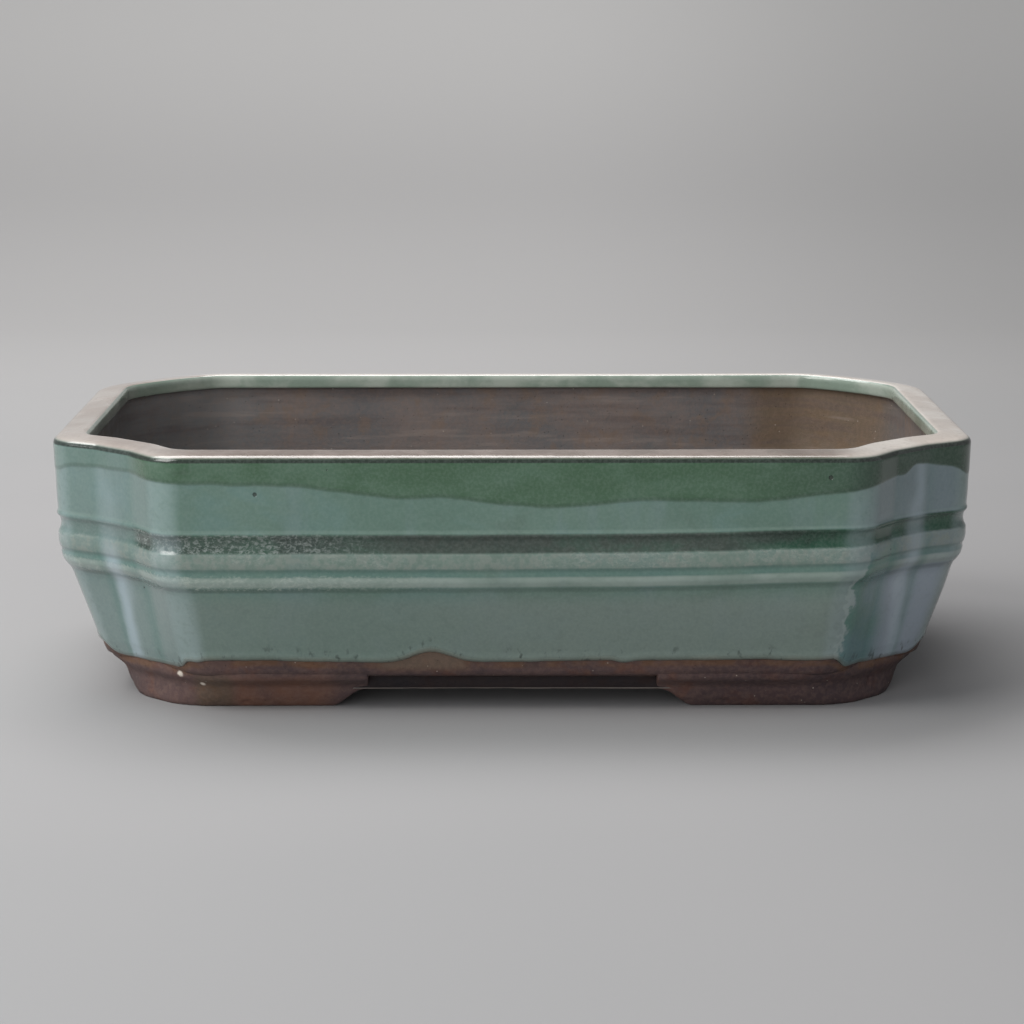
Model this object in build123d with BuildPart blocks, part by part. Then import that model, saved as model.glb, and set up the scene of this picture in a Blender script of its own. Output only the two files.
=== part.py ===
from build123d import *
import math
import os

# Rectangular glazed bonsai pot with cut corners, hollowed at the front, a belt
# and corner feet. Millimetres. Origin at the middle of the plane it stands on, +X along
# the length, front face toward -Y, +Z up.
#
# The stoneware body is slab built. A floor slab is let in between four
# L-shaped feet, four wall slabs and four corner slabs stand on them, and a
# lip, a bead and a belt are luted on. One glaze coat covers the outside and
# the lip. Two mesh screens cover the drain holes, each held by a wire clip.

# ---------------------------------------------------------------- dimensions
LENGTH = 302.0          # over the glazed rim
DEPTH = 201.0
A, B = LENGTH / 2, DEPTH / 2

WALL_T = 7.7            # slab thickness of the walls
LIP_T = 11.3            # width of the clay lip, from the face of the walls
LIP_GLAZED_T = 12.0     # the same with the coat on its inside face
CREST_T = 11.0          # the highest line of the glazed lip

Z_SLAB = 6.3            # underside of the floor slab
Z_BODY = 12.0           # top of the floor slab, underside of the walls
Z_BEND = 40.5           # below this the walls taper in
Z_LIP = 82.0            # top of the wall slabs, underside of the lip
Z_CREST = 87.4

# Outline of a corner as seen from above, measured (from end, from face): the
# main face stops at the first point and the end face at the last one.
FRONT_TOP = [(38.2, 0.0), (28.0, 15.8), (15.8, 28.0), (0.0, 38.2)]
FRONT_LOW = [(33.0, 0.0), (22.5, 11.5), (11.5, 22.5), (0.0, 33.0)]
BACK = [(37.0, 0.0), (21.5, 11.5), (11.5, 21.5), (0.0, 37.0)]
R_SHOULDER, R_CREASE = 15.0, 10.0       # front corners
R_BACK, R_BACK_MID = 30.0, 60.0         # back corners
C_END = 55.0            # where the corner slab is luted to the straight wall

# clay walls: height, inset of the outer face, inset the inner face is based on
WALL = [(Z_BODY, 16.2, 17.0), (13.2, 14.9, 16.5), (Z_BEND, 5.5, 5.5),
        (44.8, 4.9, 4.9), (57.5, 2.45, 2.45), (63.0, 1.55, 1.55),
        (70.0, 1.2, 1.2), (Z_LIP, 0.85, 0.85)]
# applied belt and bead, outer faces: height, inset
BELT = [(42.3, 4.75), (43.4, 3.95), (45.5, 2.75), (47.9, 2.2), (49.0, 2.4),
        (50.0, 1.8), (52.0, 1.5), (54.9, 1.5), (55.6, 2.1)]
BEAD = [(59.7, 1.95), (60.3, 1.25), (61.5, 1.15), (62.1, 1.5)]
# free surface of the glaze coat: height, inset
GLAZE = [(16.9, 13.3), (17.5, 12.7), (Z_BEND, 4.8), (42.3, 4.1), (43.4, 3.2),
         (45.5, 2.0), (47.9, 1.5), (49.0, 1.7), (50.0, 1.1), (52.0, 0.8),
         (55.0, 0.8), (56.0, 1.45), (57.8, 1.7), (59.6, 1.3), (60.5, 0.5),
         (61.4, 0.45), (62.1, 0.8), (64.4, 0.7), (69.0, 0.5), (76.7, 0.3),
         (82.5, 0.1), (84.2, 0.0), (85.7, 0.4), (86.7, 1.5)]

# feet: height, inset, corner chamfer leg, rounding of the chamfer
FOOT = [(0.0, 25.6, 17.0, 22.0), (1.2, 24.2, 19.0, 24.0),
        (3.6, 22.7, 22.5, 26.0), (7.9, 20.9, 26.0, 28.0),
        (10.0, 19.2, 29.5, 30.0), (Z_BODY, 17.4, 33.0, 32.0)]
FOOT_IN = 36.0          # inset of the inner faces of the feet
LEDGE = 27.0            # inset of the seat cut for the floor slab
SLAB_EDGE = 20.8        # inset of the slab's free edge, between the feet
GAP_X, GAP_X_TOP = 60.0, 46.5   # half openings between the feet, long sides
GAP_Y, GAP_Y_TOP = 33.0, 20.0   # half openings between the feet, short sides

DRAIN_X, DRAIN_R = 65.0, 12.5
TIE_X, TIE_Y, TIE_R = 65.0, 42.0, 2.5   # four holes for tie wires

SCREEN_SIDE, SCREEN_T = 50.4, 1.2
MESH_PITCH, MESH_HOLE, MESH_N = 3.2, 2.3, 15
WIRE_R = 0.8
LEG_X = 9.6             # the clip's legs pass through the mesh here
HOOK_X = 24.0           # end of the legs, bent outward under the floor


# ------------------------------------------------------------------ outlines
def line_meet(n1, d1, n2, d2):
    det = n1[0] * n2[1] - n1[1] * n2[0]
    return ((d1 * n2[1] - d2 * n1[1]) / det, (n1[0] * d2 - n2[0] * d1) / det)


def corner_raw(sy, z):
    """Front corners lose most of their hollow toward the bottom."""
    if sy > 0:
        return BACK
    k = min(1.0, (z - Z_BODY) / (Z_BEND - Z_BODY))
    return [(a + (c - a) * k, b + (d - b) * k)
            for (a, b), (c, d) in zip(FRONT_LOW, FRONT_TOP)]


def corner_points(sy, z, t):
    """Corner polygon offset inward by t."""
    raw = corner_raw(sy, z)
    lines = [((0.0, 1.0), t)]
    for (u0, w0), (u1, w1) in zip(raw, raw[1:]):
        length = math.hypot(u1 - u0, w1 - w0)
        n = ((w1 - w0) / length, (u0 - u1) / length)
        lines.append((n, n[0] * u0 + n[1] * w0 + t))
    lines.append(((1.0, 0.0), t))
    return [line_meet(*a, *b) for a, b in zip(lines, lines[1:])]


def corner_radii(sy, t):
    if sy > 0:
        return [R_BACK - t, R_BACK_MID - t, R_BACK_MID - t, R_BACK - t]
    return [R_SHOULDER - t / 2, R_CREASE + t, R_CREASE + t, R_SHOULDER - t / 2]


def ring(z, inset, t=0.0):
    """Whole outline at height z: inset, then offset inward by t."""
    pts, radii = [], []
    for sx, sy, order in ((1, -1, 1), (1, 1, -1), (-1, 1, 1), (-1, -1, -1)):
        for (u, w), rad in zip(corner_points(sy, z, t)[::order],
                               corner_radii(sy, t)[::order]):
            pts.append((sx * (A - inset - u), sy * (B - inset - w)))
            radii.append(rad)
    return pts, radii


def corner_piece(sx, sy, z, inset, inset_in):
    """Outline of one corner slab: outer face, butt end, inner face, butt end."""
    path = [(C_END, 0.0, 0.0)]
    path += [(u, w, r) for (u, w), r in
             zip(corner_points(sy, z, 0.0), corner_radii(sy, 0.0))]
    path += [(0.0, C_END, 0.0)]
    back = [(WALL_T, C_END, 0.0)]
    back += [(u, w, r) for (u, w), r in
             zip(corner_points(sy, z, WALL_T)[::-1],
                 corner_radii(sy, WALL_T)[::-1])]
    back += [(C_END, WALL_T, 0.0)]
    pts = [(sx * (A - inset - u), sy * (B - inset - w)) for u, w, _ in path]
    # butt ends stay on one plane where the inner face has its own inset
    shift = inset_in - inset
    for u, w, r in back:
        du = 0.0 if (u, r) == (C_END, 0.0) else shift
        dw = 0.0 if (w, r) == (C_END, 0.0) else shift
        pts.append((sx * (A - inset - du - u), sy * (B - inset - dw - w)))
    return pts, [r for _, _, r in path + back]


def chamfered(inset, leg, radius):
    """Rectangle with chamfered, rounded corners."""
    pts = []
    for sx, sy, order in ((1, -1, 1), (1, 1, -1), (-1, 1, 1), (-1, -1, -1)):
        for u, w in [(leg, 0.0), (0.0, leg)][::order]:
            pts.append((sx * (A - inset - u), sy * (B - inset - w)))
    return pts, [radius] * 8


def wall_inset(z, column=1):
    """Inset of the wall's outer face (1) or of the base of its inner one (2)."""
    for low, high in zip(WALL, WALL[1:]):
        if low[0] <= z <= high[0]:
            k = (z - low[0]) / (high[0] - low[0])
            return low[column] + (high[column] - low[column]) * k
    return WALL[-1][column]


os.makedirs("parts", exist_ok=True)

# --------------------------------------------------------------- wall slabs
# Long walls: bent slabs, near vertical above the belt, tapering below it.
for name, sy in (("wall_front", -1), ("wall_back", 1)):
    with BuildPart() as wall:
        for z, out, inn in WALL:
            with BuildSketch(Plane.XY.offset(z)):
                with BuildLine():
                    x = A - out - C_END
                    Polyline((-x, sy * (B - out)), (x, sy * (B - out)),
                             (x, sy * (B - inn - WALL_T)),
                             (-x, sy * (B - inn - WALL_T)), close=True)
                make_face()
        loft(ruled=True)
    wall.part.label = name
    export_step(wall.part, f"parts/{name}.step")

# Short walls.
for name, sx in (("wall_left", -1), ("wall_right", 1)):
    with BuildPart() as wall:
        for z, out, inn in WALL:
            with BuildSketch(Plane.XY.offset(z)):
                with BuildLine():
                    y = B - out - C_END
                    Polyline((sx * (A - out), -y), (sx * (A - out), y),
                             (sx * (A - inn - WALL_T), y),
                             (sx * (A - inn - WALL_T), -y), close=True)
                make_face()
        loft(ruled=True)
    wall.part.label = name
    export_step(wall.part, f"parts/{name}.step")

# Corner slabs: shoulder, return, diagonal panel, return, shoulder.
CORNERS = (("front_left", -1, -1), ("front_right", 1, -1),
           ("back_left", -1, 1), ("back_right", 1, 1))
for where, sx, sy in CORNERS:
    with BuildPart() as corner:
        for z, out, inn in WALL:
            pts, radii = corner_piece(sx, sy, z, out, inn)
            with BuildSketch(Plane.XY.offset(z)):
                with BuildLine():
                    FilletPolyline(*pts, radius=radii, close=True)
                make_face()
        loft(ruled=True)
    corner.part.label = f"corner_{where}"
    export_step(corner.part, f"parts/corner_{where}.step")

# ---------------------------------------------------------------- floor slab
# Seated on the ledges of the feet. Its four free edges reach out under the
# walls in the openings between the feet.
SEAT = chamfered(LEDGE, 22.0, 10.0)
with BuildPart() as floor_slab:
    with BuildSketch(Plane.XY.offset(Z_SLAB)):
        with BuildLine():
            FilletPolyline(*SEAT[0], radius=SEAT[1], close=True)
        make_face()
        Rectangle(2 * GAP_X_TOP, 2 * (B - SLAB_EDGE))
        Rectangle(2 * (A - SLAB_EDGE), 2 * GAP_Y_TOP)
        with Locations((-DRAIN_X, 0), (DRAIN_X, 0)):
            Circle(DRAIN_R, mode=Mode.SUBTRACT)
        with GridLocations(2 * TIE_X, 2 * TIE_Y, 2, 2):
            Circle(TIE_R, mode=Mode.SUBTRACT)
    extrude(amount=Z_BODY - Z_SLAB)
    # eased lower edge along the free edges
    free = floor_slab.edges().group_by(Axis.Z)[0].filter_by(GeomType.LINE)
    fillet([e for e in free
            if abs(abs(e.center().Y) - (B - SLAB_EDGE)) < 0.01
            or abs(abs(e.center().X) - (A - SLAB_EDGE)) < 0.01], 1.2)
floor_slab.part.label = "floor_slab"
export_step(floor_slab.part, "parts/floor_slab.step")

# Coil of clay pressed into the joint between floor and walls.
Z_COIL = 20.0
with BuildPart() as seam_coil:
    for z in (Z_BODY, 13.2, Z_COIL):
        pts, radii = ring(z, wall_inset(z, 2), WALL_T)
        with BuildSketch(Plane.XY.offset(z)):
            with BuildLine():
                FilletPolyline(*pts, radius=radii, close=True)
            make_face()
    loft(ruled=True)
    for z, t in ((Z_BODY, 7.4), (13.2, 4.2), (15.6, 2.0), (Z_COIL, 0.6)):
        pts, radii = ring(z, wall_inset(z, 2), WALL_T + t)
        with BuildSketch(Plane.XY.offset(z)):
            with BuildLine():
                FilletPolyline(*pts, radius=radii, close=True)
            make_face()
    loft(ruled=True, mode=Mode.SUBTRACT)
seam_coil.part.label = "seam_coil"
export_step(seam_coil.part, "parts/seam_coil.step")

# ----------------------------------------------------------------- lip strip
# Sits on the wall slabs, flush outside, overhanging them inside, and falls
# outward a little so that water sheds off it.
with BuildPart() as lip_strip:
    for z, inset, t in ((Z_LIP, 0.85, 0.0), (84.8, 0.8, 0.0),
                        (86.0, 2.1, 0.0), (86.65, 0.0, LIP_T)):
        pts, radii = ring(z, inset, t)
        with BuildSketch(Plane.XY.offset(z)):
            with BuildLine():
                FilletPolyline(*pts, radius=radii, close=True)
            make_face()
    loft(ruled=True)
    pts, radii = ring(Z_LIP, 0.0, LIP_T)
    with BuildSketch(Plane.XY.offset(Z_LIP)):
        with BuildLine():
            FilletPolyline(*pts, radius=radii, close=True)
        make_face()
    extrude(amount=86.65 - Z_LIP, mode=Mode.SUBTRACT)
lip_strip.part.label = "lip_strip"
export_step(lip_strip.part, "parts/lip_strip.step")

# ------------------------------------------------- applied belt and bead
# Both are thin strips luted to the outside of the walls.
with BuildPart() as belt_band:
    for z, inset in BELT:
        pts, radii = ring(z, inset)
        with BuildSketch(Plane.XY.offset(z)):
            with BuildLine():
                FilletPolyline(*pts, radius=radii, close=True)
            make_face()
    loft(ruled=True)
    for z in (BELT[0][0], 44.8, BELT[-1][0]):
        pts, radii = ring(z, wall_inset(z))
        with BuildSketch(Plane.XY.offset(z)):
            with BuildLine():
                FilletPolyline(*pts, radius=radii, close=True)
            make_face()
    loft(ruled=True, mode=Mode.SUBTRACT)
belt_band.part.label = "belt_band"
export_step(belt_band.part, "parts/belt_band.step")

with BuildPart() as string_bead:
    for z, inset in BEAD:
        pts, radii = ring(z, inset)
        with BuildSketch(Plane.XY.offset(z)):
            with BuildLine():
                FilletPolyline(*pts, radius=radii, close=True)
            make_face()
    loft(ruled=True)
    for z in (BEAD[0][0], BEAD[-1][0]):
        pts, radii = ring(z, wall_inset(z))
        with BuildSketch(Plane.XY.offset(z)):
            with BuildLine():
                FilletPolyline(*pts, radius=radii, close=True)
            make_face()
    loft(ruled=True, mode=Mode.SUBTRACT)
string_bead.part.label = "string_bead"
export_step(string_bead.part, "parts/string_bead.step")

# ---------------------------------------------------------------- glaze coat
# Covers the outside from just above the body's lower edge, the top of the lip
# and the inside face of the lip.
with BuildPart() as glaze_coat:
    for z, inset in GLAZE:
        pts, radii = ring(z, inset)
        with BuildSketch(Plane.XY.offset(z)):
            with BuildLine():
                FilletPolyline(*pts, radius=radii, close=True)
            make_face()
    pts, radii = ring(Z_CREST, 0.0, CREST_T)
    with BuildSketch(Plane.XY.offset(Z_CREST)):
        with BuildLine():
            FilletPolyline(*pts, radius=radii, close=True)
        make_face()
    loft(ruled=True)
    # everything inside the face of the walls
    for z in [level[0] for level in WALL]:
        pts, radii = ring(z, wall_inset(z))
        with BuildSketch(Plane.XY.offset(z)):
            with BuildLine():
                FilletPolyline(*pts, radius=radii, close=True)
            make_face()
    loft(ruled=True, mode=Mode.SUBTRACT)
    # the opening inside the glazed lip
    pts, radii = ring(Z_LIP, 0.0, LIP_GLAZED_T)
    with BuildSketch(Plane.XY.offset(Z_LIP)):
        with BuildLine():
            FilletPolyline(*pts, radius=radii, close=True)
        make_face()
    extrude(amount=Z_CREST - Z_LIP + 1.0, mode=Mode.SUBTRACT)
    # the strips the coat runs over
    add(lip_strip.part, mode=Mode.SUBTRACT)
    add(belt_band.part, mode=Mode.SUBTRACT)
    add(string_bead.part, mode=Mode.SUBTRACT)
glaze_coat.part.label = "glaze_coat"
export_step(glaze_coat.part, "parts/glaze_coat.step")

# ---------------------------------------------------------------------- feet
# L-shaped, one under each corner, with a ledge inside for the floor slab. The
# lower edge of each arm sweeps up in an ogee to the underside of the slab.
for where, sx, sy in CORNERS:
    with BuildPart() as foot:
        for z, inset, leg, radius in FOOT:
            pts, radii = chamfered(inset, leg, radius)
            with BuildSketch(Plane.XY.offset(z)):
                with BuildLine():
                    FilletPolyline(*pts, radius=radii, close=True)
                make_face()
        loft(ruled=True)
        with BuildSketch():
            Rectangle(2 * (A - FOOT_IN), 2 * (B - FOOT_IN))
        extrude(amount=Z_BODY, mode=Mode.SUBTRACT)
        with BuildSketch(Plane.XY.offset(Z_SLAB)):
            with BuildLine():
                FilletPolyline(*SEAT[0], radius=SEAT[1], close=True)
            make_face()
        extrude(amount=Z_BODY - Z_SLAB, mode=Mode.SUBTRACT)
        with BuildSketch(Plane.XZ):
            with BuildLine():
                Line((GAP_X, -1), (GAP_X, -0.3))
                Bezier((GAP_X, -0.3), (GAP_X - 6, -0.3),
                       (GAP_X_TOP + 7, Z_SLAB), (GAP_X_TOP, Z_SLAB))
                Line((GAP_X_TOP, Z_SLAB), (GAP_X_TOP, Z_BODY + 1))
                Line((GAP_X_TOP, Z_BODY + 1), (-GAP_X_TOP, Z_BODY + 1))
                Line((-GAP_X_TOP, Z_BODY + 1), (-GAP_X_TOP, Z_SLAB))
                Bezier((-GAP_X_TOP, Z_SLAB), (-GAP_X_TOP - 7, Z_SLAB),
                       (-GAP_X + 6, -0.3), (-GAP_X, -0.3))
                Line((-GAP_X, -0.3), (-GAP_X, -1))
                Line((-GAP_X, -1), (GAP_X, -1))
            make_face()
        extrude(amount=B, both=True, mode=Mode.SUBTRACT)
        with BuildSketch(Plane.YZ):
            with BuildLine():
                Line((GAP_Y, -1), (GAP_Y, -0.3))
                Bezier((GAP_Y, -0.3), (GAP_Y - 6, -0.3),
                       (GAP_Y_TOP + 6, Z_SLAB), (GAP_Y_TOP, Z_SLAB))
                Line((GAP_Y_TOP, Z_SLAB), (GAP_Y_TOP, Z_BODY + 1))
                Line((GAP_Y_TOP, Z_BODY + 1), (-GAP_Y_TOP, Z_BODY + 1))
                Line((-GAP_Y_TOP, Z_BODY + 1), (-GAP_Y_TOP, Z_SLAB))
                Bezier((-GAP_Y_TOP, Z_SLAB), (-GAP_Y_TOP - 6, Z_SLAB),
                       (-GAP_Y + 6, -0.3), (-GAP_Y, -0.3))
                Line((-GAP_Y, -0.3), (-GAP_Y, -1))
                Line((-GAP_Y, -1), (GAP_Y, -1))
            make_face()
        extrude(amount=A, both=True, mode=Mode.SUBTRACT)
        # keep this corner's quarter
        with BuildSketch():
            with Locations((sx * A / 2, sy * B / 2)):
                Rectangle(A, B)
        extrude(amount=Z_BODY, mode=Mode.INTERSECT)
    foot.part.label = f"foot_{where}"
    export_step(foot.part, f"parts/foot_{where}.step")

# ----------------------------------------------------- drain screens, clips
for name, x0 in (("drain_screen_left", -DRAIN_X),
                 ("drain_screen_right", DRAIN_X)):
    with BuildPart() as screen:
        with BuildSketch(Plane.XY.offset(Z_BODY)):
            with Locations((x0, 0)):
                RectangleRounded(SCREEN_SIDE, SCREEN_SIDE, 1.0)
                with GridLocations(MESH_PITCH, MESH_PITCH, MESH_N, MESH_N):
                    Rectangle(MESH_HOLE, MESH_HOLE, mode=Mode.SUBTRACT)
        extrude(amount=SCREEN_T)
    screen.part.label = name
    export_step(screen.part, f"parts/{name}.step")

# Each clip is one length of wire: a hook under the floor, a leg up through the
# drain hole and the mesh, an S laid flat over the mesh, and down again.
Z_UNDER = Z_SLAB - WIRE_R - 0.05
Z_OVER = Z_BODY + SCREEN_T + WIRE_R + 0.05
LOOP_X, LOOP_R, BEND_R = 16.5, 4.5, 1.6
swing = 2 * math.atan(LOOP_R / LOOP_X)
mid = math.radians(-90) - (math.pi + swing) / 2
for name, x0 in (("screen_clip_left", -DRAIN_X),
                 ("screen_clip_right", DRAIN_X)):
    with BuildPart() as clip:
        with BuildLine() as wire:
            s = math.sqrt(0.5)
            Line((x0 - HOOK_X, 0, Z_UNDER), (x0 - LEG_X - 2, 0, Z_UNDER))
            ThreePointArc((x0 - LEG_X - 2, 0, Z_UNDER),
                          (x0 - LEG_X - 2 + 2 * s, 0, Z_UNDER + 2 - 2 * s),
                          (x0 - LEG_X, 0, Z_UNDER + 2))
            Line((x0 - LEG_X, 0, Z_UNDER + 2), (x0 - LEG_X, 0, Z_OVER))
            # rises clear of the mesh before it turns over
            ThreePointArc((x0 - LEG_X, 0, Z_OVER),
                          (x0 - LEG_X - BEND_R + BEND_R * s, 0,
                           Z_OVER + BEND_R * s),
                          (x0 - LEG_X - BEND_R, 0, Z_OVER + BEND_R))
            Line((x0 - LEG_X - BEND_R, 0, Z_OVER + BEND_R),
                 (x0 - LOOP_X, 0, Z_OVER + BEND_R))
            e = (LOOP_X - LOOP_R * math.sin(swing),
                 LOOP_R + LOOP_R * math.cos(swing))
            m = (LOOP_X - LOOP_R * math.cos(mid),
                 LOOP_R + LOOP_R * math.sin(mid))
            zt = Z_OVER + BEND_R
            ThreePointArc((x0 - LOOP_X, 0, zt), (x0 - m[0], m[1], zt),
                          (x0 - e[0], e[1], zt))
            Line((x0 - e[0], e[1], zt), (x0 + e[0], -e[1], zt))
            ThreePointArc((x0 + e[0], -e[1], zt), (x0 + m[0], -m[1], zt),
                          (x0 + LOOP_X, 0, zt))
            Line((x0 + LOOP_X, 0, zt), (x0 + LEG_X + BEND_R, 0, zt))
            ThreePointArc((x0 + LEG_X + BEND_R, 0, zt),
                          (x0 + LEG_X + BEND_R - BEND_R * s, 0,
                           Z_OVER + BEND_R * s),
                          (x0 + LEG_X, 0, Z_OVER))
            Line((x0 + LEG_X, 0, Z_OVER), (x0 + LEG_X, 0, Z_UNDER + 2))
            ThreePointArc((x0 + LEG_X, 0, Z_UNDER + 2),
                          (x0 + LEG_X + 2 - 2 * s, 0, Z_UNDER + 2 - 2 * s),
                          (x0 + LEG_X + 2, 0, Z_UNDER))
            Line((x0 + LEG_X + 2, 0, Z_UNDER), (x0 + HOOK_X, 0, Z_UNDER))
        with BuildSketch(Plane(origin=(x0 - HOOK_X, 0, Z_UNDER),
                               z_dir=(1, 0, 0))):
            Circle(WIRE_R)
        sweep(path=wire.wires()[0])
    clip.part.label = name
    export_step(clip.part, f"parts/{name}.step")
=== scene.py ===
import math
import bpy
import numpy as np
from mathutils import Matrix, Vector


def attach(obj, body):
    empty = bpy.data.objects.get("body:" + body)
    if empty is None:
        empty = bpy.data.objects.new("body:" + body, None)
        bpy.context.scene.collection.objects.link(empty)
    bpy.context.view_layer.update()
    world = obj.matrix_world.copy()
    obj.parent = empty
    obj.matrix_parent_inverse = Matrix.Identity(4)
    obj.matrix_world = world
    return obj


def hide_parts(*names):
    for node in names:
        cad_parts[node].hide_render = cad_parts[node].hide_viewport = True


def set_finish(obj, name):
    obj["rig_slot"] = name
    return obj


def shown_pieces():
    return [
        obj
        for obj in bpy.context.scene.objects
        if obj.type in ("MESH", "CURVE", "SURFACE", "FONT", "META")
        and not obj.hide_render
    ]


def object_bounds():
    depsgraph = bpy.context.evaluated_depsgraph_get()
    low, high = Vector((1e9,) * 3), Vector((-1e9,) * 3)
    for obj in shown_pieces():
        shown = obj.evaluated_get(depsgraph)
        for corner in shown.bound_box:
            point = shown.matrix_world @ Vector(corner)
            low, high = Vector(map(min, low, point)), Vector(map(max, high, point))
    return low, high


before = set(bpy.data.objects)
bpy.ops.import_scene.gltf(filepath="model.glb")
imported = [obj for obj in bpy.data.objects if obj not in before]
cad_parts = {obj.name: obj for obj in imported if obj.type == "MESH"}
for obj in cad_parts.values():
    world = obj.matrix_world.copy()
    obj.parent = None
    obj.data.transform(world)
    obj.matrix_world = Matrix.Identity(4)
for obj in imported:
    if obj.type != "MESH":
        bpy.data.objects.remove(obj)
CAD_LO, CAD_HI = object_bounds()

# Everything below is worked out in millimetres and turned into metres when a
# mesh is made. The outline and profile repeat the CAD's own dimensions.
A = (CAD_HI.x - CAD_LO.x) * 500.0
B = (CAD_HI.y - CAD_LO.y) * 500.0
Z_SLAB, Z_BODY, Z_BEND, Z_LIP, Z_CREST = 6.3, 12.0, 40.5, 82.0, 87.4
WALL_T, LIP_T, LIP_GLAZED_T, CREST_T = 7.7, 11.3, 12.0, 11.0
FRONT_TOP = [(38.2, 0.0), (28.0, 15.8), (15.8, 28.0), (0.0, 38.2)]
FRONT_LOW = [(33.0, 0.0), (22.5, 11.5), (11.5, 22.5), (0.0, 33.0)]
BACK = [(37.0, 0.0), (21.5, 11.5), (11.5, 21.5), (0.0, 37.0)]
R_SHOULDER, R_CREASE, R_BACK, R_BACK_MID = 15.0, 10.0, 30.0, 60.0
C_END = 55.0
WALL = [(12.0, 16.2, 17.0), (13.2, 14.9, 16.5), (40.5, 5.5, 5.5),
        (44.8, 4.9, 4.9), (57.5, 2.45, 2.45), (63.0, 1.55, 1.55),
        (70.0, 1.2, 1.2), (82.0, 0.85, 0.85)]
GLAZE = [(12.0, 15.3), (16.9, 13.05), (17.5, 12.7), (40.5, 4.8), (42.3, 4.1),
         (43.4, 3.2), (45.5, 2.0), (47.9, 1.5), (49.0, 1.75), (50.0, 1.1),
         (52.0, 0.8), (55.0, 0.8), (56.0, 1.45), (57.8, 1.75), (59.6, 1.35),
         (60.5, 0.5), (61.4, 0.45), (62.1, 0.8), (64.4, 0.7), (69.0, 0.5),
         (76.7, 0.3), (82.5, 0.1), (84.2, 0.0)]
DRAIN_X, DRAIN_R = 65.0, 12.5
TIE_X, TIE_Y, TIE_R = 65.0, 42.0, 2.5


# ------------------------------------------------------------------- noise
def _hash(ix, iy, iz, seed):
    n = (ix * 374761393 + iy * 668265263 + iz * 2147483647 + seed * 144665
         ).astype(np.int64) & 0xFFFFFFFF
    n = ((n ^ (n >> 13)) * 1274126177) & 0xFFFFFFFF
    n = ((n ^ (n >> 16)) * 2246822519) & 0xFFFFFFFF
    return ((n ^ (n >> 15)) & 0xFFFFFF) / float(0xFFFFFF) * 2.0 - 1.0


def noise(p, scale, seed=0):
    """Smooth value noise in -1..1 of points p (N x 3, mm), feature size scale."""
    q = np.asarray(p, dtype=float) / np.asarray(scale, dtype=float) + 1000.5
    i = np.floor(q).astype(np.int64)
    f = q - i
    f = f * f * f * (f * (f * 6 - 15) + 10)
    out = np.zeros(len(q))
    for dx in (0, 1):
        for dy in (0, 1):
            for dz in (0, 1):
                w = ((f[:, 0] if dx else 1 - f[:, 0])
                     * (f[:, 1] if dy else 1 - f[:, 1])
                     * (f[:, 2] if dz else 1 - f[:, 2]))
                out += w * _hash(i[:, 0] + dx, i[:, 1] + dy, i[:, 2] + dz, seed)
    return out


def fbm(p, scale, seed=0, octaves=3, gain=0.5):
    out, amp, total = np.zeros(len(p)), 1.0, 0.0
    s = np.asarray(scale, dtype=float)
    for k in range(octaves):
        out += amp * noise(p, s / (2.03 ** k), seed + 17 * k)
        total += amp
        amp *= gain
    return out / total


def smoothstep(a, b, x):
    t = np.clip((x - a) / (b - a), 0.0, 1.0)
    return t * t * (3 - 2 * t)


# ----------------------------------------------------------------- outlines
def line_meet(n1, d1, n2, d2):
    det = n1[0] * n2[1] - n1[1] * n2[0]
    return ((d1 * n2[1] - d2 * n1[1]) / det, (n1[0] * d2 - n2[0] * d1) / det)


def corner_raw(sy, z):
    if sy > 0:
        return BACK
    k = min(1.0, (z - Z_BODY) / (Z_BEND - Z_BODY))
    return [(a + (c - a) * k, b + (d - b) * k)
            for (a, b), (c, d) in zip(FRONT_LOW, FRONT_TOP)]


def corner_points(sy, z, t):
    raw = corner_raw(sy, z)
    lines = [((0.0, 1.0), t)]
    for (u0, w0), (u1, w1) in zip(raw, raw[1:]):
        length = math.hypot(u1 - u0, w1 - w0)
        n = ((w1 - w0) / length, (u0 - u1) / length)
        lines.append((n, n[0] * u0 + n[1] * w0 + t))
    lines.append(((1.0, 0.0), t))
    return [line_meet(*a, *b) for a, b in zip(lines, lines[1:])]


def corner_radii(sy, t):
    if sy > 0:
        return [R_BACK - t, R_BACK_MID - t, R_BACK_MID - t, R_BACK - t]
    return [R_SHOULDER - t / 2, R_CREASE + t, R_CREASE + t, R_SHOULDER - t / 2]


def ring_poly(z, inset, t):
    pts, radii = [], []
    for sx, sy, order in ((1, -1, 1), (1, 1, -1), (-1, 1, 1), (-1, -1, -1)):
        for (u, w), rad in zip(corner_points(sy, z, t)[::order],
                               corner_radii(sy, t)[::order]):
            pts.append((sx * (A - inset - u), sy * (B - inset - w)))
            radii.append(rad)
    return np.array(pts), np.array(radii)


def counts(step):
    """Samples on each of the 16 arcs and 16 lines that follow them."""
    arcs, lines = [], []
    pts, _ = ring_poly(60.0, 0.0, 0.0)
    for i in range(16):
        k = i % 4
        arcs.append(max(4, int(round((18 if k in (0, 3) else 7) / step))))
        length = np.linalg.norm(pts[(i + 1) % 16] - pts[i])
        lines.append(max(2, int(round(length / step))))
    return arcs, lines


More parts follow.
